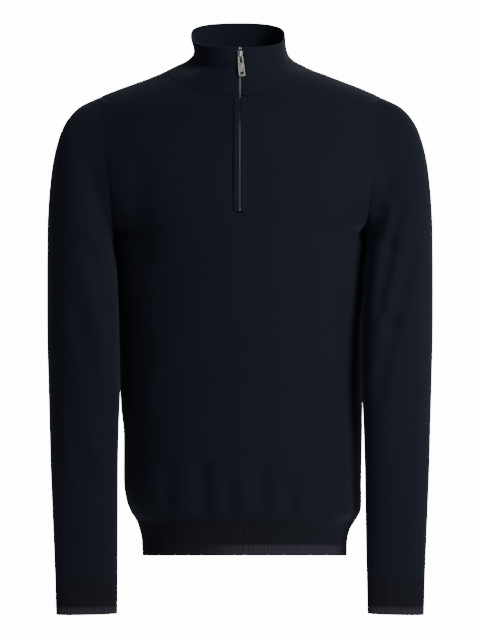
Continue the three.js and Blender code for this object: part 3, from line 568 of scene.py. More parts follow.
NAVY = (0.0052, 0.0070, 0.0155)
NAVY_LIGHT = (0.0085, 0.0110, 0.0230)
RIB_NAVY = (0.0058, 0.0068, 0.0128)
RIB_LIGHT = (0.0092, 0.0103, 0.0185)
# Painted backlight: the pale colour of daylight through the single layer at the hem and cuffs
PAINTED_BACKLIGHT = (0.0360, 0.0340, 0.0480)
knit_navy = knit_finish("fine_navy_knit", NAVY, NAVY_LIGHT)
rib_navy = knit_finish("navy_rib_knit", RIB_NAVY, RIB_LIGHT, PAINTED_BACKLIGHT)
nickel = metal_finish("satin_nickel", (0.60, 0.585, 0.57), 0.28)
field_nickel = metal_finish("brushed_field_nickel", (0.50, 0.465, 0.43), 0.36)
tooth_metal = metal_finish("tooth_nickel", (0.52, 0.52, 0.53), 0.34)
THREAD_COLOURS = (0.010, 0.012, 0.020), (0.020, 0.023, 0.034)
TAPE_COLOURS = (0.004, 0.005, 0.009), (0.010, 0.012, 0.019)
thread_navy = matt_finish("navy_thread", "TexNoise", 3200.0, *THREAD_COLOURS, roughness=0.7, relief=0.4)
tape_black = matt_finish("woven_zip_tape", "TexWave", 900.0, *TAPE_COLOURS, roughness=0.8, relief=0.4)


def finish_piece(piece, material, *nodes, slot="fine_knit", body="garment"):
    piece.data.materials.clear()
    piece.data.materials.append(material)
    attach(piece, body)
    if nodes:
        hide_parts(*nodes)
    return piece


# Front and back

# Heights where the spacing of the rows changes, and how many rows follow each
PANEL_HEIGHT_STOPS = ((0.0, 44), (-0.050, 40), (-0.225, 46), (-0.480, 46), (BODY_BOTTOM, 0))
FRONT_SIDE_COLUMNS = 70
BACK_COLUMNS = 120


def panel_heights():
    heights = []
    for (start, count), (end, _) in zip(PANEL_HEIGHT_STOPS, PANEL_HEIGHT_STOPS[1:]):
        heights.extend(np.linspace(start, end, count, endpoint=False))
    heights.append(BODY_BOTTOM)
    return np.array(heights)


def panel(name, side, columns, folds, keep_zip=False):
    heights = panel_heights()
    across, height = np.meshgrid(columns, heights)
    outer = torso_point(side, across, height, folds)
    outer[..., 1] += side * SEAM_GAP / 4
    if keep_zip:
        middle = FRONT_SIDE_COLUMNS
        outer[:, middle, 0] -= ZIP_SLOT_HALF
        outer[:, middle + 1, 0] += ZIP_SLOT_HALF
    normals = grid_normals(outer, False, side)
    if keep_zip:
        face_front(normals, (middle, middle + 1))
    level_ends(normals, outer, False, -side, (0, len(heights) - 1))
    inner = outer - normals * CLOTH
    inner[..., 1] = side * np.maximum(SEAM_GAP / 4, side * inner[..., 1])
    keep = np.ones((len(heights) - 1, len(columns) - 1), dtype=bool)
    if keep_zip:
        keep[:, middle] = heights[:-1] < ZIP_BOTTOM_HEIGHT
    return wall_mesh(name, outer, inner, keep=keep)


right_columns = np.linspace(0, 1, FRONT_SIDE_COLUMNS + 1)
front_columns = np.concatenate([-right_columns[::-1], right_columns])
front = panel("knit_front", -1, front_columns, FRONT_FOLDS, keep_zip=True)
finish_piece(front, knit_navy, "front_panel")

back = panel("knit_back", 1, np.linspace(-1, 1, BACK_COLUMNS + 1), BACK_FOLDS)
finish_piece(back, knit_navy, "back_panel")


# Sleeves

SLEEVE_RING_COUNT = 190
SLEEVE_RING_POINTS = 110
SLEEVE_BLEND_ROWS = 6


def armhole_depth(side, height):
    half = torso_section("half", height)
    part = np.minimum(1, armhole_reach(height) / half)
    deepest = np.where(side < 0, torso_section("front", height), torso_section("back", height))
    roundness = torso_section("roundness", height)
    return deepest * np.maximum(0, 1 - part ** roundness) ** (1 / roundness)


def sleeve_rings(hand, positions, points, folds):
    """Rings of a sleeve at positions in its table. Hand is +1 for the +X sleeve."""
    def value(column):
        return ring_values(SLEEVE[column], positions)

    angle = (np.arange(points) * 2 * math.pi / points)[None, :]
    power = 2 / SLEEVE_ROUNDNESS
    up = squared_off(np.cos(angle), power)
    aside = squared_off(np.sin(angle), power)
    part = (1 + up) / 2
    inner_reach = value("inner_right" if hand > 0 else "inner_left")
    reach = inner_reach + (value("outer") - inner_reach) * part
    z = value("inner_height") + (value("outer_height") - value("inner_height")) * part
    to_armhole = 1 - smooth(0, SLEEVE_BLEND_ROWS, positions)[:, None]
    armhole_height = ARMPIT_HEIGHT + (SHOULDER_HEIGHT - ARMPIT_HEIGHT) * part
    plain = value("middle") + value("lean") * (1 - part) ** 2 + value("depth") * aside
    cut = np.sign(aside) * armhole_depth(aside, armhole_height)
    y = plain * (1 - to_armhole) + cut * to_armhole
    x = hand * reach
    front_depth = fold_depth(folds, x, z)
    back_depth = fold_depth(SLEEVE_BACK_FOLDS, np.abs(x), z)
    depth = np.where(aside < 0, front_depth, back_depth) - soft_unevenness(z, 1.7 * y + x, SLEEVE_UNEVENNESS)
    y = y - np.sign(aside) * depth * np.abs(aside) * (1 - to_armhole)
    return np.stack([x, y, z], axis=-1)


def sleeve(name, hand, folds):
    positions = np.linspace(0, len(SLEEVE_ROWS) - 1, SLEEVE_RING_COUNT)
    rings = sleeve_rings(hand, positions, SLEEVE_RING_POINTS, folds)
    normals = grid_normals(rings, True, -hand)
    level_ends(normals, rings, True, hand, (SLEEVE_RING_COUNT - 1,))
    armhole = unit(np.array([hand * (SHOULDER_HEIGHT - ARMPIT_HEIGHT), 0, ARMPIT_REACH - SHOULDER_REACH]))
    run = np.roll(rings[0], -1, axis=0) - np.roll(rings[0], 1, axis=0)
    first = np.cross(run, armhole)
    outward = rings[0] - rings[0].mean(axis=0)
    meeting = np.linalg.norm(first, axis=1) < MERGE_DISTANCE ** 2
    first[meeting] = outward[meeting]
    first = unit(first)
    normals[0] = first * np.sign(np.sum(first * outward))
    return wall_mesh(name, rings, rings - normals * CLOTH, closed=True)


for name, hand, folds, node in (
    ("knit_sleeve_right", 1, RIGHT_SLEEVE_FOLDS, "sleeve_right"),
    ("knit_sleeve_left", -1, LEFT_SLEEVE_FOLDS, "sleeve_left"),
):
    piece = sleeve(name, hand, folds)
    finish_piece(piece, knit_navy, node)


# Rib bands

RIB_STEPS = 6
RIB_SHARPNESS = 1.6
RIB_EDGE_SHARE = 0.4
RIB_EDGE_RUN = 2 * MM


def rib_profile(columns):
    """Raised rib at each pitch: a rounded ridge and a narrow valley."""
    phase = np.arange(columns) % RIB_STEPS / RIB_STEPS
    return -RIB_RAISE * (0.5 + 0.5 * np.cos(2 * math.pi * phase)) ** RIB_SHARPNESS


def ribbed(name, rows, closed, outward, painted_backlight_share):
    normals = grid_normals(rows, closed, outward)
    level_ends(normals, rows, closed, -outward, (0, len(rows) - 1))
    raised = rib_profile(rows.shape[1])[None, :, None] * normals
    down = arc_lengths(rows, 0)
    free = down[-1:] - down
    inside = smooth(0, RIB_EDGE_RUN, down) * smooth(0, RIB_CLOTH, free)
    edge = RIB_EDGE_SHARE + (1 - RIB_EDGE_SHARE) * inside
    half = RIB_CLOTH / 2
    full = edge_fullness(free, RIB_CLOTH)
    outer = rows + raised * edge[..., None] - normals * half * (1 - full)
    piece = wall_mesh(name, outer, rows - normals * half * (1 + full), closed=closed)
    # Painted backlight: how much of it each point takes, kept for the material
    layer = piece.data.attributes.new("painted_backlight_share", "FLOAT", "POINT")
    layer.data.foreach_set("value", np.tile(painted_backlight_share.ravel(), 2).astype(np.float32))
    return piece


HEM_ROWS = 22
HEM_HALF_GIRTH = 0.395
HEM_STRIP_HEIGHT = 16 * MM
# Across the hem, the painted strip of backlight comes up between the first pair and goes out between the
# second
HEM_STRIP_START = (-60 * MM, 10 * MM)
HEM_STRIP_END = (142 * MM, 126 * MM)
HEM_STRIP_REST = 0.15


def hem_rib(name, side):
    ribs = round(HEM_HALF_GIRTH / RIB_PITCH)
    columns = ribs * RIB_STEPS
    heights = towards_edge(BODY_BOTTOM, HEM_BOTTOM, HEM_ROWS, RIB_CLOTH / 2)
    across, height = np.meshgrid(np.linspace(-1, 1, columns + 1), heights)
    rows = torso_point(side, across, height, None)
    rows[..., 1] -= side * SEAM_GAP / 4
    x = rows[..., 0]
    # Painted backlight: strongest low on the hem and across its middle, faint elsewhere
    low = smooth(HEM_BOTTOM + HEM_STRIP_HEIGHT, HEM_BOTTOM + HEM_STRIP_HEIGHT * 0.75, height)
    strongest = smooth(*HEM_STRIP_START, x) * smooth(*HEM_STRIP_END, x)
    low *= HEM_STRIP_REST + (1 - HEM_STRIP_REST) * strongest
    return ribbed(name, rows, False, side, low)


CUFF_ROWS = 18
CUFF_RIBS = 48
CUFF_STRIP_HEIGHT = 12 * MM


def cuff_rib(name, hand):
    last = len(SLEEVE_ROWS) - 1
    points = CUFF_RIBS * RIB_STEPS
    top = sleeve_rings(hand, np.array([float(last)]), points, ())[0]
    inner = "inner_right" if hand > 0 else "inner_left"
    start = {column: SLEEVE[column][last] for column in SLEEVE_COLUMNS}
    across = (hand * top[:, 0] - start[inner]) / (start["outer"] - start[inner])
    aside = (top[:, 1] - start["middle"]) / start["depth"]
    parts = towards_edge(0, 1, CUFF_ROWS, RIB_CLOTH / 2 / CUFF_RIB_HEIGHT)[:, None]
    at = {column: start[column] + (end - start[column]) * parts for column, end in CUFF_END.items()}
    fall = CUFF_RIB_HEIGHT * parts
    x = hand * (at[inner] + (at["outer"] - at[inner]) * across)
    rows = np.stack([x, at["middle"] + at["depth"] * aside, top[:, 2] - fall], axis=-1)
    # Painted backlight: all round the cuff in its lowest rows
    painted_lit_strip = smooth(CUFF_RIB_HEIGHT - CUFF_STRIP_HEIGHT, CUFF_RIB_HEIGHT - CUFF_STRIP_HEIGHT * 0.7, fall)
    return ribbed(name, rows, True, -hand, painted_lit_strip * np.ones((1, points)))


for name, side, node in (("rib_hem_front", -1, "hem_rib_front"), ("rib_hem_back", 1, "hem_rib_back")):
    piece = hem_rib(name, side)
    finish_piece(piece, rib_navy, node, slot="rib_knit")
for name, hand, node in (("rib_cuff_right", 1, "cuff_rib_right"), ("rib_cuff_left", -1, "cuff_rib_left")):
    piece = cuff_rib(name, hand)
    finish_piece(piece, rib_navy, node, slot="rib_knit")


# Collar

COLLAR_RING_POINTS = 240
COLLAR_RING_COUNT = 66
COLLAR_ROW_STEP = 12.5 * MM
# Rings close to the neck seam, for its ridge, and where the even rings start
SEAM_RINGS = (0, 0.04, 0.08, 0.12, 0.16)
EVEN_RINGS_START = 0.22
COLLAR_FOLD_FADE = 0.35
ZIP_EDGE_SLACK = 0.2 * MM
SEAM_RIDGE = 0.8 * MM
SEAM_RIDGE_HEIGHT = 2.2 * MM


def collar_grid(turns, positions):
    """Points of the collar. Turns run from 0 at the zip round the back to 1 at the zip again."""
    def value(column):
        return ring_values(COLLAR[column], positions)

    angle = 2 * math.pi * turns[None, :]
    in_front = np.cos(angle) > 0
    power = 2 / NECK_ROUNDNESS
    flat = np.abs(np.sin(angle)) ** power
    deep = np.abs(np.cos(angle)) ** power
    x = (value("shift") - np.sign(np.sin(angle)) * value("half")) * flat
    facing = np.abs(np.cos(angle)) ** value("flare")
    end = np.where(in_front, value("front_height"), value("back_height"))
    z = value("side") + (end - value("side")) * facing
    inward = fold_depth(COLLAR_FOLDS, x, z) * in_front * smooth(0, COLLAR_FOLD_FADE, deep)
    y = np.where(in_front, -value("front"), value("back")) * deep + inward
    return np.stack([x, y, z], axis=-1)


def collar():
    turns = np.linspace(0, 1, COLLAR_RING_POINTS + 1)
    last = len(COLLAR_ROWS) - 1
    edge = COLLAR_CLOTH / 2 / COLLAR_ROW_STEP
    even_rings = towards_edge(EVEN_RINGS_START, last, COLLAR_RING_COUNT, edge)
    positions = np.concatenate([SEAM_RINGS, even_rings])
    rows = collar_grid(turns, positions)
    gap = ZIP_CLOSED_HALF + (ZIP_SLOT_HALF - ZIP_CLOSED_HALF) * smooth(*COLLAR_GAP_OPENS, rows[:, 0, 2])
    rows[:, 0, 0] = -gap
    rows[:, -1, 0] = gap
    normals = grid_normals(rows, False, -1)
    level_ends(normals, rows, False, -1, (0,))
    face_front(normals, (0, -1))
    up = arc_lengths(rows, 0)
    ridge = SEAM_RIDGE * smooth(0, SEAM_RIDGE_HEIGHT / 3, up)
    ridge *= smooth(SEAM_RIDGE_HEIGHT, SEAM_RIDGE_HEIGHT / 2, up)
    along = arc_lengths(rows, 1)
    beside_zip = np.minimum(along, along[:, -1:] - along) + ZIP_EDGE_SLACK
    free = np.minimum(up[-1:] - up, beside_zip)
    rows = rows + normals * ridge[..., None]
    half = COLLAR_CLOTH / 2
    full = edge_fullness(free, COLLAR_CLOTH)
    return wall_mesh("knit_collar", rows - normals * half * (1 - full), rows - normals * half * (1 + full))


collar_piece = collar()
finish_piece(collar_piece, knit_navy, "collar")


# Zip: the middle line of the front and of the collar above it, as depth and height

BODY_LINE_TOP = -4 * MM
BODY_LINE_POINTS = 150
COLLAR_LINE_START = 0.02
COLLAR_LINE_POINTS = 70
BAND_WIDTH = 7.5 * MM
BAND_OVERHANG = 0.8 * MM
BAND_THICKNESS = 1.1 * MM
BAND_RINGS = 120
TAPE_RINGS = 90
TAPE_START = 0.15 * MM
TAPE_REACH = 8 * MM
TAPE_THICKNESS = 0.7 * MM
TAPE_DEPTH = CLOTH + 0.6 * MM
CHAIN_HALF = 1.5 * MM
CHAIN_DEPTH = 0.8 * MM
TOOTH_LENGTH = 2.1 * MM
TOOTH_DEPTH = 1.3 * MM
TOOTH_HEIGHT = 0.78 * MM
TOOTH_PITCH = 1.9 * MM
STOP_HEIGHT = 3.4 * MM
SLIDER_SEAT = (0.0, -81.85 * MM, 14 * MM)
SLIDER_TILT = -0.1244
HINGE = (0.0, -83.382 * MM, 12.226 * MM)
TAB_LEAN = math.radians(6)
TAB_SWING_OUT = math.radians(4)
STITCH_PITCH = 2.7 * MM
STITCH_THREAD = 0.26 * MM
STITCH_SLANT = math.radians(38)


def middle_line():
    """Points of the middle line from the zip's bottom to its top, as depth and height."""
    heights = np.linspace(ZIP_BOTTOM_HEIGHT, BODY_LINE_TOP, BODY_LINE_POINTS)
    low = torso_point(-1, np.zeros_like(heights), heights, None)[:, 1:]
    positions = np.linspace(COLLAR_LINE_START, len(COLLAR_ROWS) - 1, COLLAR_LINE_POINTS)
    high = collar_grid(np.array([0.0]), positions)[:, 0, 1:]
    return low, high


class Line:
    """A line in depth and height, read by its length, with its direction at each place."""

    def __init__(self, points):
        steps = np.linalg.norm(np.diff(points, axis=0), axis=1)
        self.lengths = np.concatenate([[0], np.cumsum(steps)])
        self.points = points
        self.total = self.lengths[-1]

    def at(self, length):
        return np.stack([np.interp(length, self.lengths, self.points[:, axis]) for axis in (0, 1)], axis=-1)

    def run(self, length):
        step = 1 * MM
        ahead = self.at(np.minimum(self.total, length + step)) - self.at(np.maximum(0, length - step))
        return unit(ahead)

    def tilt(self, length):
        run = self.run(length)
        return np.arctan2(-run[..., 0], run[..., 1])


low_line, high_line = middle_line()
body_line = Line(low_line)
whole_line = Line(np.concatenate([low_line, high_line]))


def swept(name, line, lengths, profiles):
    """A solid swept along the line. Each profile row holds points as distance aside and depth."""
    place = line.at(lengths)
    run = line.run(lengths)
    behind = np.stack([run[:, 1], -run[:, 0]], axis=-1)
    side, depth = profiles[..., 0], profiles[..., 1]
    y = place[:, None, 0] + behind[:, None, 0] * depth
    z = place[:, None, 1] + behind[:, None, 1] * depth
    return tube_mesh(name, np.stack([side, y, z], axis=-1))


def tube_mesh(name, rings):
    """A closed tube with flat ends, and its flat sizes as its UV map."""
    rows, points = rings.shape[:2]
    flat = flat_map(rings, True)
    faces, maps = [], []
    for row in range(rows - 1):
        for point in range(points):
            after = (point + 1) % points
            start = row * points
            faces.append((start + point, start + after, start + points + after, start + points + point))
            maps.extend(cell_corners(flat, row, point))
    for row, order in ((0, range(points - 1, -1, -1)), (rows - 1, range(points))):
        faces.append(tuple(row * points + point for point in order))
        maps.extend(flat[row, point] for point in order)
    return mesh_object(name, rings.reshape(-1, 3), faces, maps)


def strip_profile(left, right, near, far, round_share, count=9):
    """A flat bar's outline with a rounded face: across from left to right in front, then back."""
    turn = np.linspace(0, math.pi, count)
    middle, half = (left + right) / 2, (right - left) / 2
    across = middle - half * squared_off(np.cos(turn), 0.6)
    depth = far + (near - far) * ((1 - round_share) + round_share * np.sin(turn) ** 0.5)
    front = np.stack([across, depth], axis=-1)
    return np.concatenate([front, [[right, far], [left, far]]])


def zip_strip(name, hand, starts, end, near, far, round_share, line):
    """A strip beside the zip, from one start for each ring, at even lengths, out to its end."""
    sides = [sorted((hand * start, hand * end)) for start in starts]
    profiles = [strip_profile(left, right, near, far, round_share) for left, right in sides]
    return swept(name, line, np.linspace(0, line.total, len(starts)), np.array(profiles))


def repeated(name, unit, places, turns, finish, unevenness, seed):
    """The unit at each place and turn, a little uneven in size, as one plain mesh."""
    mesh = bpy.data.meshes.new(name)
    mesh.from_pydata([tuple(place) for place in places], [], [])
    layer = mesh.attributes.new("turn", "FLOAT_VECTOR", "POINT")
    layer.data.foreach_set("vector", np.array(turns, dtype=np.float32).ravel())
    piece = put_in_scene(name, mesh)
    modifier = piece.modifiers.new("repeat", "NODES")
    modifier.node_group = repeat_group
    for item in repeat_group.interface.items_tree:
        if item.item_type != "SOCKET" or item.in_out != "INPUT":
            continue
        values = {"Unit": unit, "Finish": finish, "Unevenness": unevenness, "Seed": seed}
        if item.name in values:
            modifier[item.identifier] = values[item.name]
    depsgraph = bpy.context.evaluated_depsgraph_get()
    plain = bpy.data.meshes.new_from_object(piece.evaluated_get(depsgraph))
    piece.modifiers.clear()
    piece.data = plain
    shade(plain, CLOTH_SHARP_ANGLE)
    return piece


def build_repeat_group():
    """Geometry Nodes: one unit on every point, turned by the point's attribute."""
    group = bpy.data.node_groups.new("repeat_along_zip", "GeometryNodeTree")
    sockets = (
        ("Places", "NodeSocketGeometry"), ("Unit", "NodeSocketObject"), ("Finish", "NodeSocketMaterial"),
        ("Unevenness", "NodeSocketFloat"), ("Seed", "NodeSocketInt"),
    )
    for name, kind in sockets:
        group.interface.new_socket(name, in_out="INPUT", socket_type=kind)
    group.interface.new_socket("Pieces", in_out="OUTPUT", socket_type="NodeSocketGeometry")
    given, unit, turn, spread, smallest, placed, real, finished, result = map(group.nodes.new, (
        "NodeGroupInput", "GeometryNodeObjectInfo", "GeometryNodeInputNamedAttribute",
        "FunctionNodeRandomValue", "ShaderNodeMath", "GeometryNodeInstanceOnPoints",
        "GeometryNodeRealizeInstances", "GeometryNodeSetMaterial", "NodeGroupOutput",
    ))
    turn.data_type = "FLOAT_VECTOR"
    turn.inputs["Name"].default_value = "turn"
    spread.data_type = "FLOAT"
    smallest.operation = "SUBTRACT"
    smallest.inputs[0].default_value = 1.0
    spread.inputs[3].default_value = 1.0
    wires = (
        (given, "Unit", unit, "Object"), (given, "Unevenness", smallest, 1), (smallest, 0, spread, 2),
        (given, "Seed", spread, "Seed"), (given, "Places", placed, "Points"),
        (unit, "Geometry", placed, "Instance"), (turn, "Attribute", placed, "Rotation"),
        (spread, 1, placed, "Scale"), (placed, "Instances", real, "Geometry"),
        (real, "Geometry", finished, "Geometry"), (given, "Finish", finished, "Material"),
        (finished, "Geometry", result, "Pieces"),
    )
    for source, output, target, socket in wires:
        group.links.new(source.outputs[output], target.inputs[socket])
    return group


repeat_group = build_repeat_group()


def rounded_block(name, low, high, radius, segments=2):
    """A block between two corners with rounded edges."""
    mesh = bpy.data.meshes.new(name)
    shape = bmesh.new()
    bmesh.ops.create_cube(shape, size=1.0)
    for vertex in shape.verts:
        part = np.array(vertex.co) + 0.5
        vertex.co = np.array(low) + part * (np.array(high) - np.array(low))
    edges = list(shape.edges)
    bmesh.ops.bevel(shape, geom=edges, offset=radius, segments=segments, affect="EDGES", profile=0.5)
    bmesh.ops.recalc_face_normals(shape, faces=list(shape.faces))
    shape.to_mesh(mesh)
    shape.free()
    return put_in_scene(name, mesh)


def joined(name, pieces):
    """One object from several, each where it stands."""
    shape = bmesh.new()
    for piece in pieces:
        part = piece.data.copy()
        part.transform(piece.matrix_world)
        shape.from_mesh(part)
        bpy.data.objects.remove(piece)
    mesh = bpy.data.meshes.new(name)
    shape.to_mesh(mesh)
    shape.free()
    shade(mesh, METAL_SHARP_ANGLE)
    return put_in_scene(name, mesh)


# Bands, tapes and their stitching

for name, hand in (("left", -1), ("right", 1)):
    start = ZIP_SLOT_HALF - BAND_OVERHANG
    below_neck = np.linspace(body_line.total, 0, BAND_RINGS)
    starts = ZIP_CLOSED_HALF + (start - ZIP_CLOSED_HALF) * smooth(*BANDS_OPEN_BELOW_NECK, below_neck)
    near, far = -SEAM_GAP - BAND_THICKNESS, -0.1 * MM
    band = zip_strip(f"knit_band_{name}", hand, starts, start + BAND_WIDTH, near, far, 0.75, body_line)
    finish_piece(band, knit_navy, f"zip_band_{name}")
    tape = zip_strip(f"woven_tape_{name}", hand, np.full(TAPE_RINGS, TAPE_START), TAPE_REACH, TAPE_DEPTH,
                     TAPE_DEPTH + TAPE_THICKNESS, 0.2, body_line)
    finish_piece(tape, tape_black, f"zip_tape_{name}", slot="zip_tape")


def along_zip(line, lengths, side, depth):
    """Points beside the middle line, and the turn that lays a unit along it."""
    place = line.at(lengths)
    run = line.run(lengths)
    points = np.stack([side, place[:, 0] + run[:, 1] * depth, place[:, 1] - run[:, 0] * depth], axis=-1)
    return points, line.tilt(lengths)


def rows_beside_zip(name, unit_piece, line, rows, finish, unevenness, seed):
    """The unit along rows beside the line, each given as lengths, side, depth and half turn."""
    places, turns = [], []
    for lengths, side, depth, turn in rows:
        points, tilt = along_zip(line, lengths, side + np.zeros_like(lengths), depth)
        places.append(points)
        turns.append(np.stack([tilt, np.full_like(tilt, turn), np.zeros_like(tilt)], axis=-1))
    places, turns = np.concatenate(places), np.concatenate(turns)
    piece = repeated(name, unit_piece, places, turns, finish, unevenness, seed)
    bpy.data.objects.remove(unit_piece)
    return piece


def stitches():
    """Slanting stitches across each band, one thread each."""
    length = BAND_WIDTH * 0.62
    thread = rounded_block("stitch", (-length / 2, -STITCH_THREAD, -STITCH_THREAD),
                           (length / 2, STITCH_THREAD, STITCH_THREAD), STITCH_THREAD * 0.9)
    lengths = np.arange(STITCH_PITCH, body_line.total - STITCH_PITCH, STITCH_PITCH)
    side = ZIP_SLOT_HALF - BAND_OVERHANG + BAND_WIDTH / 2
    depth = -SEAM_GAP - BAND_THICKNESS + 0.05 * MM
    rows = [(lengths, hand * side, depth, hand * STITCH_SLANT) for hand in (-1, 1)]
    return rows_beside_zip("band_stitches", thread, body_line, rows, thread_navy, unevenness=0.12, seed=7)


stitch_piece = stitches()
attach(stitch_piece, "garment")


# Teeth, stops and slider

OPEN_LENGTH = 8 * MM
OPEN_SPREAD = 0.9 * MM


def teeth():
    """Two rows of teeth that mesh below the slider and part above it."""
    tooth = rounded_block("tooth", (-CHAIN_HALF, -TOOTH_DEPTH / 2, -TOOTH_HEIGHT / 2),
                          (TOOTH_LENGTH - CHAIN_HALF, TOOTH_DEPTH / 2, TOOTH_HEIGHT / 2), 0.2 * MM, 1)
    rows = []
    for hand, offset, half_turn in ((-1, 0.0, 0.0), (1, TOOTH_PITCH / 2, math.pi)):
        lengths = np.arange(STOP_HEIGHT + offset, whole_line.total - STOP_HEIGHT, TOOTH_PITCH)
        opened = smooth(whole_line.total - OPEN_LENGTH, whole_line.total, lengths) * OPEN_SPREAD
        rows.append((lengths, hand * opened, CHAIN_DEPTH, half_turn))
    return rows_beside_zip("zip_teeth", tooth, whole_line, rows, tooth_metal, unevenness=0.04, seed=3)


def stop(name, length, left, right):
    """A small metal stop that closes the teeth's row at a length along the line."""
    half = STOP_HEIGHT / 2
    block = rounded_block(name, (left, -TOOTH_DEPTH / 2, -half), (right, TOOTH_DEPTH / 2, half), 0.3 * MM)
    point, tilt = along_zip(whole_line, np.array([length]), np.array([0.0]), np.array([CHAIN_DEPTH]))
    block.location = point[0]
    block.rotation_euler = (float(tilt[0]), 0, 0)
    return block


stops = [
    stop("bottom_stop", STOP_HEIGHT / 2, -CHAIN_HALF, CHAIN_HALF),
    stop("top_stop_left", whole_line.total - STOP_HEIGHT / 2, -1.75 * MM, -0.55 * MM),
    stop("top_stop_right", whole_line.total - STOP_HEIGHT / 2, 0.55 * MM, 1.75 * MM),
]
bpy.context.view_layer.update()
chain = joined("zip_chain_teeth", [teeth(), *stops])
finish_piece(chain, tooth_metal, "zip_chain", slot="zip_metal")


def rounded_outline(corners, steps=6):
    """An outline through corners, each given as across, up and radius."""
    points = []
    count = len(corners)
    for index, (x, z, radius) in enumerate(corners):
        corner = np.array([x, z])
        if radius <= 0:
            points.append(corner)
            continue
        before = np.array(corners[index - 1][:2]) - corner
        after = np.array(corners[(index + 1) % count][:2]) - corner
        start = corner + before / np.linalg.norm(before) * radius
        end = corner + after / np.linalg.norm(after) * radius
        for part in np.linspace(0, 1, steps):
            points.append((1 - part) ** 2 * start + 2 * part * (1 - part) * corner + part * part * end)
    return np.array(points)


def cut_plate(name, outline, holes, thickness, edge):
    """A flat plate with holes and rounded edges, standing upright with its middle at y = 0."""
    curve = bpy.data.curves.new(name, "CURVE")
    curve.dimensions = "2D"
    curve.fill_mode = "BOTH"
    curve.extrude = thickness / 2 - edge
    curve.bevel_depth = edge
    curve.bevel_resolution = 2
    curve.offset = -edge
    for loop in (outline, *holes):
        spline = curve.splines.new("POLY")
        spline.points.add(len(loop) - 1)
        for point, (x, z) in zip(spline.points, loop):
            point.co = (x, z, 0, 1)
        spline.use_cyclic_u = True
    holder = put_in_scene(name, curve)
    mesh = bpy.data.meshes.new_from_object(holder.evaluated_get(bpy.context.evaluated_depsgraph_get()))
    bpy.data.objects.remove(holder)
    shape = bmesh.new()
    shape.from_mesh(mesh)
    bmesh.ops.remove_doubles(shape, verts=list(shape.verts), dist=0.002 * MM)
    bmesh.ops.recalc_face_normals(shape, faces=list(shape.faces))
    shape.to_mesh(mesh)
    shape.free()
    for vertex in mesh.vertices:
        x, z, depth = vertex.co
        vertex.co = (x, -depth, z)
    return put_in_scene(name, mesh)


SLIDER_HALF_WIDTH = 3.3 * MM
SLIDER_HALF_LENGTH = 5 * MM
SLIDER_PLATE = 1.2 * MM
SLIDER_NOSE = 2.0 * MM
LIP_DEPTH = 1.5 * MM
LIP_WIDTH = 0.7 * MM
BRIDGE_WIDTH = 1.6 * MM
BRIDGE_HALF_LENGTH = 4 * MM
BRIDGE_RISE = 3.6 * MM
BRIDGE_WALL = 1.0 * MM
BRIDGE_CORNER = 1.3 * MM


def arch_bar(name, path, width, thickness):
    """A bar with a rounded section along a path of depth and height, inside the path."""
    run = unit(np.gradient(path, axis=0))
    inward = np.stack([run[:, 1], -run[:, 0]], axis=-1)
    turn = np.arange(12) * 2 * math.pi / 12
    across = squared_off(np.cos(turn), 0.5) * width / 2
    through = squared_off(np.sin(turn), 0.5) * thickness / 2
    middle = path + inward * thickness / 2
    y = middle[:, None, 0] + inward[:, None, 0] * through
    z = middle[:, None, 1] + inward[:, None, 1] * through
    x = np.tile(across, (len(path), 1))
    return tube_mesh(name, np.stack([x, y, z], axis=-1))


def slider():
    """The slider's body with its lips, and the arch that carries the pull tab."""
    half, long = SLIDER_HALF_WIDTH, SLIDER_HALF_LENGTH
    corners = (
        (-half, long, 0.9 * MM), (-0.9 * MM, long, 0.4 * MM), (0, long - 1.2 * MM, 0.5 * MM),
        (0.9 * MM, long, 0.4 * MM), (half, long, 0.9 * MM), (half, 0, 1.6 * MM),
        (SLIDER_NOSE, -long, 0.8 * MM), (-SLIDER_NOSE, -long, 0.8 * MM), (-half, 0, 1.6 * MM),
    )
    body = cut_plate("slider_face", rounded_outline(corners), (), SLIDER_PLATE, 0.25 * MM)
    body.location = (0, SLIDER_PLATE / 2, 0)
    pieces = [body]
    for hand in (-1, 1):
        left, right = sorted((hand * half, hand * (half - LIP_WIDTH)))
        low, high = (left, SLIDER_PLATE * 0.5, 0), (right, LIP_DEPTH, long - 0.8 * MM)
        pieces.append(rounded_block("slider_lip", low, high, 0.2 * MM))
    arch = rounded_outline((
        (0.5 * MM, -BRIDGE_HALF_LENGTH, 0), (-BRIDGE_RISE, -BRIDGE_HALF_LENGTH, BRIDGE_CORNER),
        (-BRIDGE_RISE, BRIDGE_HALF_LENGTH, BRIDGE_CORNER), (0.5 * MM, BRIDGE_HALF_LENGTH, 0),
    ))
    pieces.append(arch_bar("slider_arch", arch, BRIDGE_WIDTH, BRIDGE_WALL))
    bpy.context.view_layer.update()
    whole = joined("nickel_slider", pieces)
    return moved_to(whole, SLIDER_SEAT, (SLIDER_TILT, 0, 0), "XYZ")


def moved_to(piece, place, turn, order):
    """The piece's points turned and moved, with the object itself left at the origin."""
    holder = put_in_scene("holder", None)
    holder.rotation_mode = order
    holder.rotation_euler = turn
    holder.location = place
    bpy.context.view_layer.update()
    piece.data.transform(holder.matrix_world)
    bpy.data.objects.remove(holder)
    return piece


finish_piece(slider(), nickel, "zip_slider", slot="zip_metal")


# Pull tab: a frame with a raised rim, and a sunken field with a slot

TAB_LENGTH = 29 * MM
TAB_BAR = 1.5 * MM
TAB_THICKNESS = 1.3 * MM
TAB_TOP_WIDTH = 7.2 * MM
TAB_BOTTOM_WIDTH = 8.8 * MM
TAB_TOP_SHARE = 0.62
TAB_CORNER = 2 * MM
TAB_RIM = 1.0 * MM
TAB_FIELD_THICKNESS = 0.8 * MM
WINDOW_LENGTH = 8.6 * MM
WINDOW_WIDTH = 3.6 * MM
SLOT_LENGTH = 2.6 * MM
SLOT_WIDTH = 4.4 * MM
SLOT_UP = 3.2 * MM


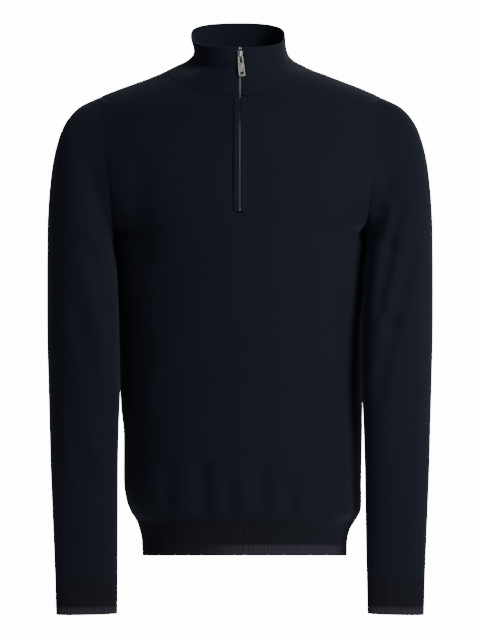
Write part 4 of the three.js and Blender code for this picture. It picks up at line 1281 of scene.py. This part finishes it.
def tab_half_width(z):
    top, bottom = TAB_BAR / 2 - TAB_CORNER, TAB_BAR / 2 - TAB_LENGTH + TAB_CORNER
    part = (z - top) / (bottom - top)
    return (TAB_TOP_WIDTH + (TAB_BOTTOM_WIDTH - TAB_TOP_WIDTH) * part) / 2


def pull_tab():
    top, bottom = TAB_BAR / 2, TAB_BAR / 2 - TAB_LENGTH
    wide, narrow = TAB_BOTTOM_WIDTH / 2, TAB_TOP_WIDTH / 2
    outline = rounded_outline((
        (-narrow * TAB_TOP_SHARE, top, 0.5 * MM), (narrow * TAB_TOP_SHARE, top, 0.5 * MM),
        (narrow, top - TAB_CORNER, 0.9 * MM), (wide, bottom, TAB_CORNER), (-wide, bottom, TAB_CORNER),
        (-narrow, top - TAB_CORNER, 0.9 * MM),
    ))
    window_half = WINDOW_WIDTH / 2
    window_end = -top - WINDOW_LENGTH
    window = rounded_outline((
        (-window_half * TAB_TOP_SHARE, -top, 0.4 * MM), (window_half * TAB_TOP_SHARE, -top, 0.4 * MM),
        (window_half, window_end, 1.5 * MM), (-window_half, window_end, 1.5 * MM),
    ))
    field_top, field_bottom = window_end - 1.3 * MM, bottom + TAB_RIM
    upper, lower = tab_half_width(field_top) - TAB_RIM, tab_half_width(field_bottom) - TAB_RIM

    def field_outline(grow):
        return rounded_outline((
            (-upper - grow, field_top + grow, 1.0 * MM), (upper + grow, field_top + grow, 1.0 * MM),
            (lower + grow, field_bottom - grow, 1.2 * MM), (-lower - grow, field_bottom - grow, 1.2 * MM),
        ))

    slot_low = bottom + SLOT_UP
    half = SLOT_WIDTH / 2
    slot = rounded_outline((
        (-half, slot_low + SLOT_LENGTH, 0.6 * MM), (half, slot_low + SLOT_LENGTH, 0.6 * MM),
        (half, slot_low, 0.6 * MM), (-half, slot_low, 0.6 * MM),
    ))
    rim = cut_plate("tab_frame", outline, (window, field_outline(0)), TAB_THICKNESS, 0.22 * MM)
    field = cut_plate("tab_field", field_outline(0.3 * MM), (slot,), TAB_FIELD_THICKNESS, 0.12 * MM)
    return rim, field


for piece, finish, nodes in zip(pull_tab(), (nickel, field_nickel), (("pull_tab",), ())):
    moved_to(piece, HINGE, (-TAB_SWING_OUT, -TAB_LEAN, 0), "YXZ")
    shade(piece.data, METAL_SHARP_ANGLE)
    finish_piece(piece, finish, *nodes, slot="zip_metal", body="pull_tab")


# Floor, light and camera

FLOOR_HEIGHT = -1.15
FLOOR_HALF = 2.2
FLOOR_COLOURS = (0.86, 0.86, 0.86), (0.90, 0.90, 0.90)
CAMERA_DISTANCE = 4.0
CAMERA_HEIGHT = -0.340
VIEW_HEIGHT = 0.8704
SENSOR = 36.0
BACKDROP_STRENGTH = 18.0
AMBIENT_STRENGTH = 0.12
# Lights: name, place, aim, size and power in watts
LIGHTS = (
    ("key", (1.9, -2.2, 0.9), (0, 0, -0.3), (1.2, 1.6), 70),
    ("fill", (-1.8, -2.4, 0.2), (0, 0, -0.4), (1.4, 1.6), 5),
    ("back", (0.6, 2.4, 0.9), (0, 0, -0.3), (1.6, 1.2), 25),
)


def floor():
    half = FLOOR_HALF
    corners = [(-half, -half, FLOOR_HEIGHT), (half, -half, FLOOR_HEIGHT), (half, half, FLOOR_HEIGHT),
               (-half, half, FLOOR_HEIGHT)]
    mesh = bpy.data.meshes.new("floor")
    mesh.from_pydata(corners, [], [(0, 1, 2, 3)])
    piece = put_in_scene("floor", mesh)
    mesh.materials.append(matt_finish("pale_floor", "TexNoise", 6.0, *FLOOR_COLOURS, roughness=0.9))


def area_light(name, place, aim, size, power):
    light = bpy.data.lights.new(name, "AREA")
    light.shape = "RECTANGLE"
    light.size, light.size_y = size
    light.energy = power
    lamp = put_in_scene(name, light)
    run = Vector(aim) - Vector(place)
    lamp.location = place
    lamp.rotation_euler = run.to_track_quat("-Z", "Y").to_euler()


def surroundings():
    world = bpy.data.worlds.new("white_studio")
    world.use_nodes = True
    tree = world.node_tree
    tree.nodes.clear()
    output = tree.nodes.new("ShaderNodeOutputWorld")
    path = tree.nodes.new("ShaderNodeLightPath")
    mix = tree.nodes.new("ShaderNodeMixShader")
    tree.links.new(path.outputs["Is Camera Ray"], mix.inputs[0])
    for socket, strength in ((1, AMBIENT_STRENGTH), (2, BACKDROP_STRENGTH)):
        light = tree.nodes.new("ShaderNodeBackground")
        light.inputs["Strength"].default_value = strength
        tree.links.new(light.outputs[0], mix.inputs[socket])
    tree.links.new(mix.outputs[0], output.inputs[0])
    bpy.context.scene.world = world


floor()
surroundings()
for name, place, aim, size, power in LIGHTS:
    area_light(name, place, aim, size, power)

camera_data = bpy.data.cameras.new("camera")
camera_data.sensor_fit = "VERTICAL"
camera_data.sensor_height = SENSOR
camera_data.lens = SENSOR * CAMERA_DISTANCE / VIEW_HEIGHT
camera_data.clip_end = 50
camera = put_in_scene("camera", camera_data)
camera.location = (0, -CAMERA_DISTANCE, CAMERA_HEIGHT)
camera.rotation_euler = (math.pi / 2, 0, 0)
bpy.context.scene.camera = camera
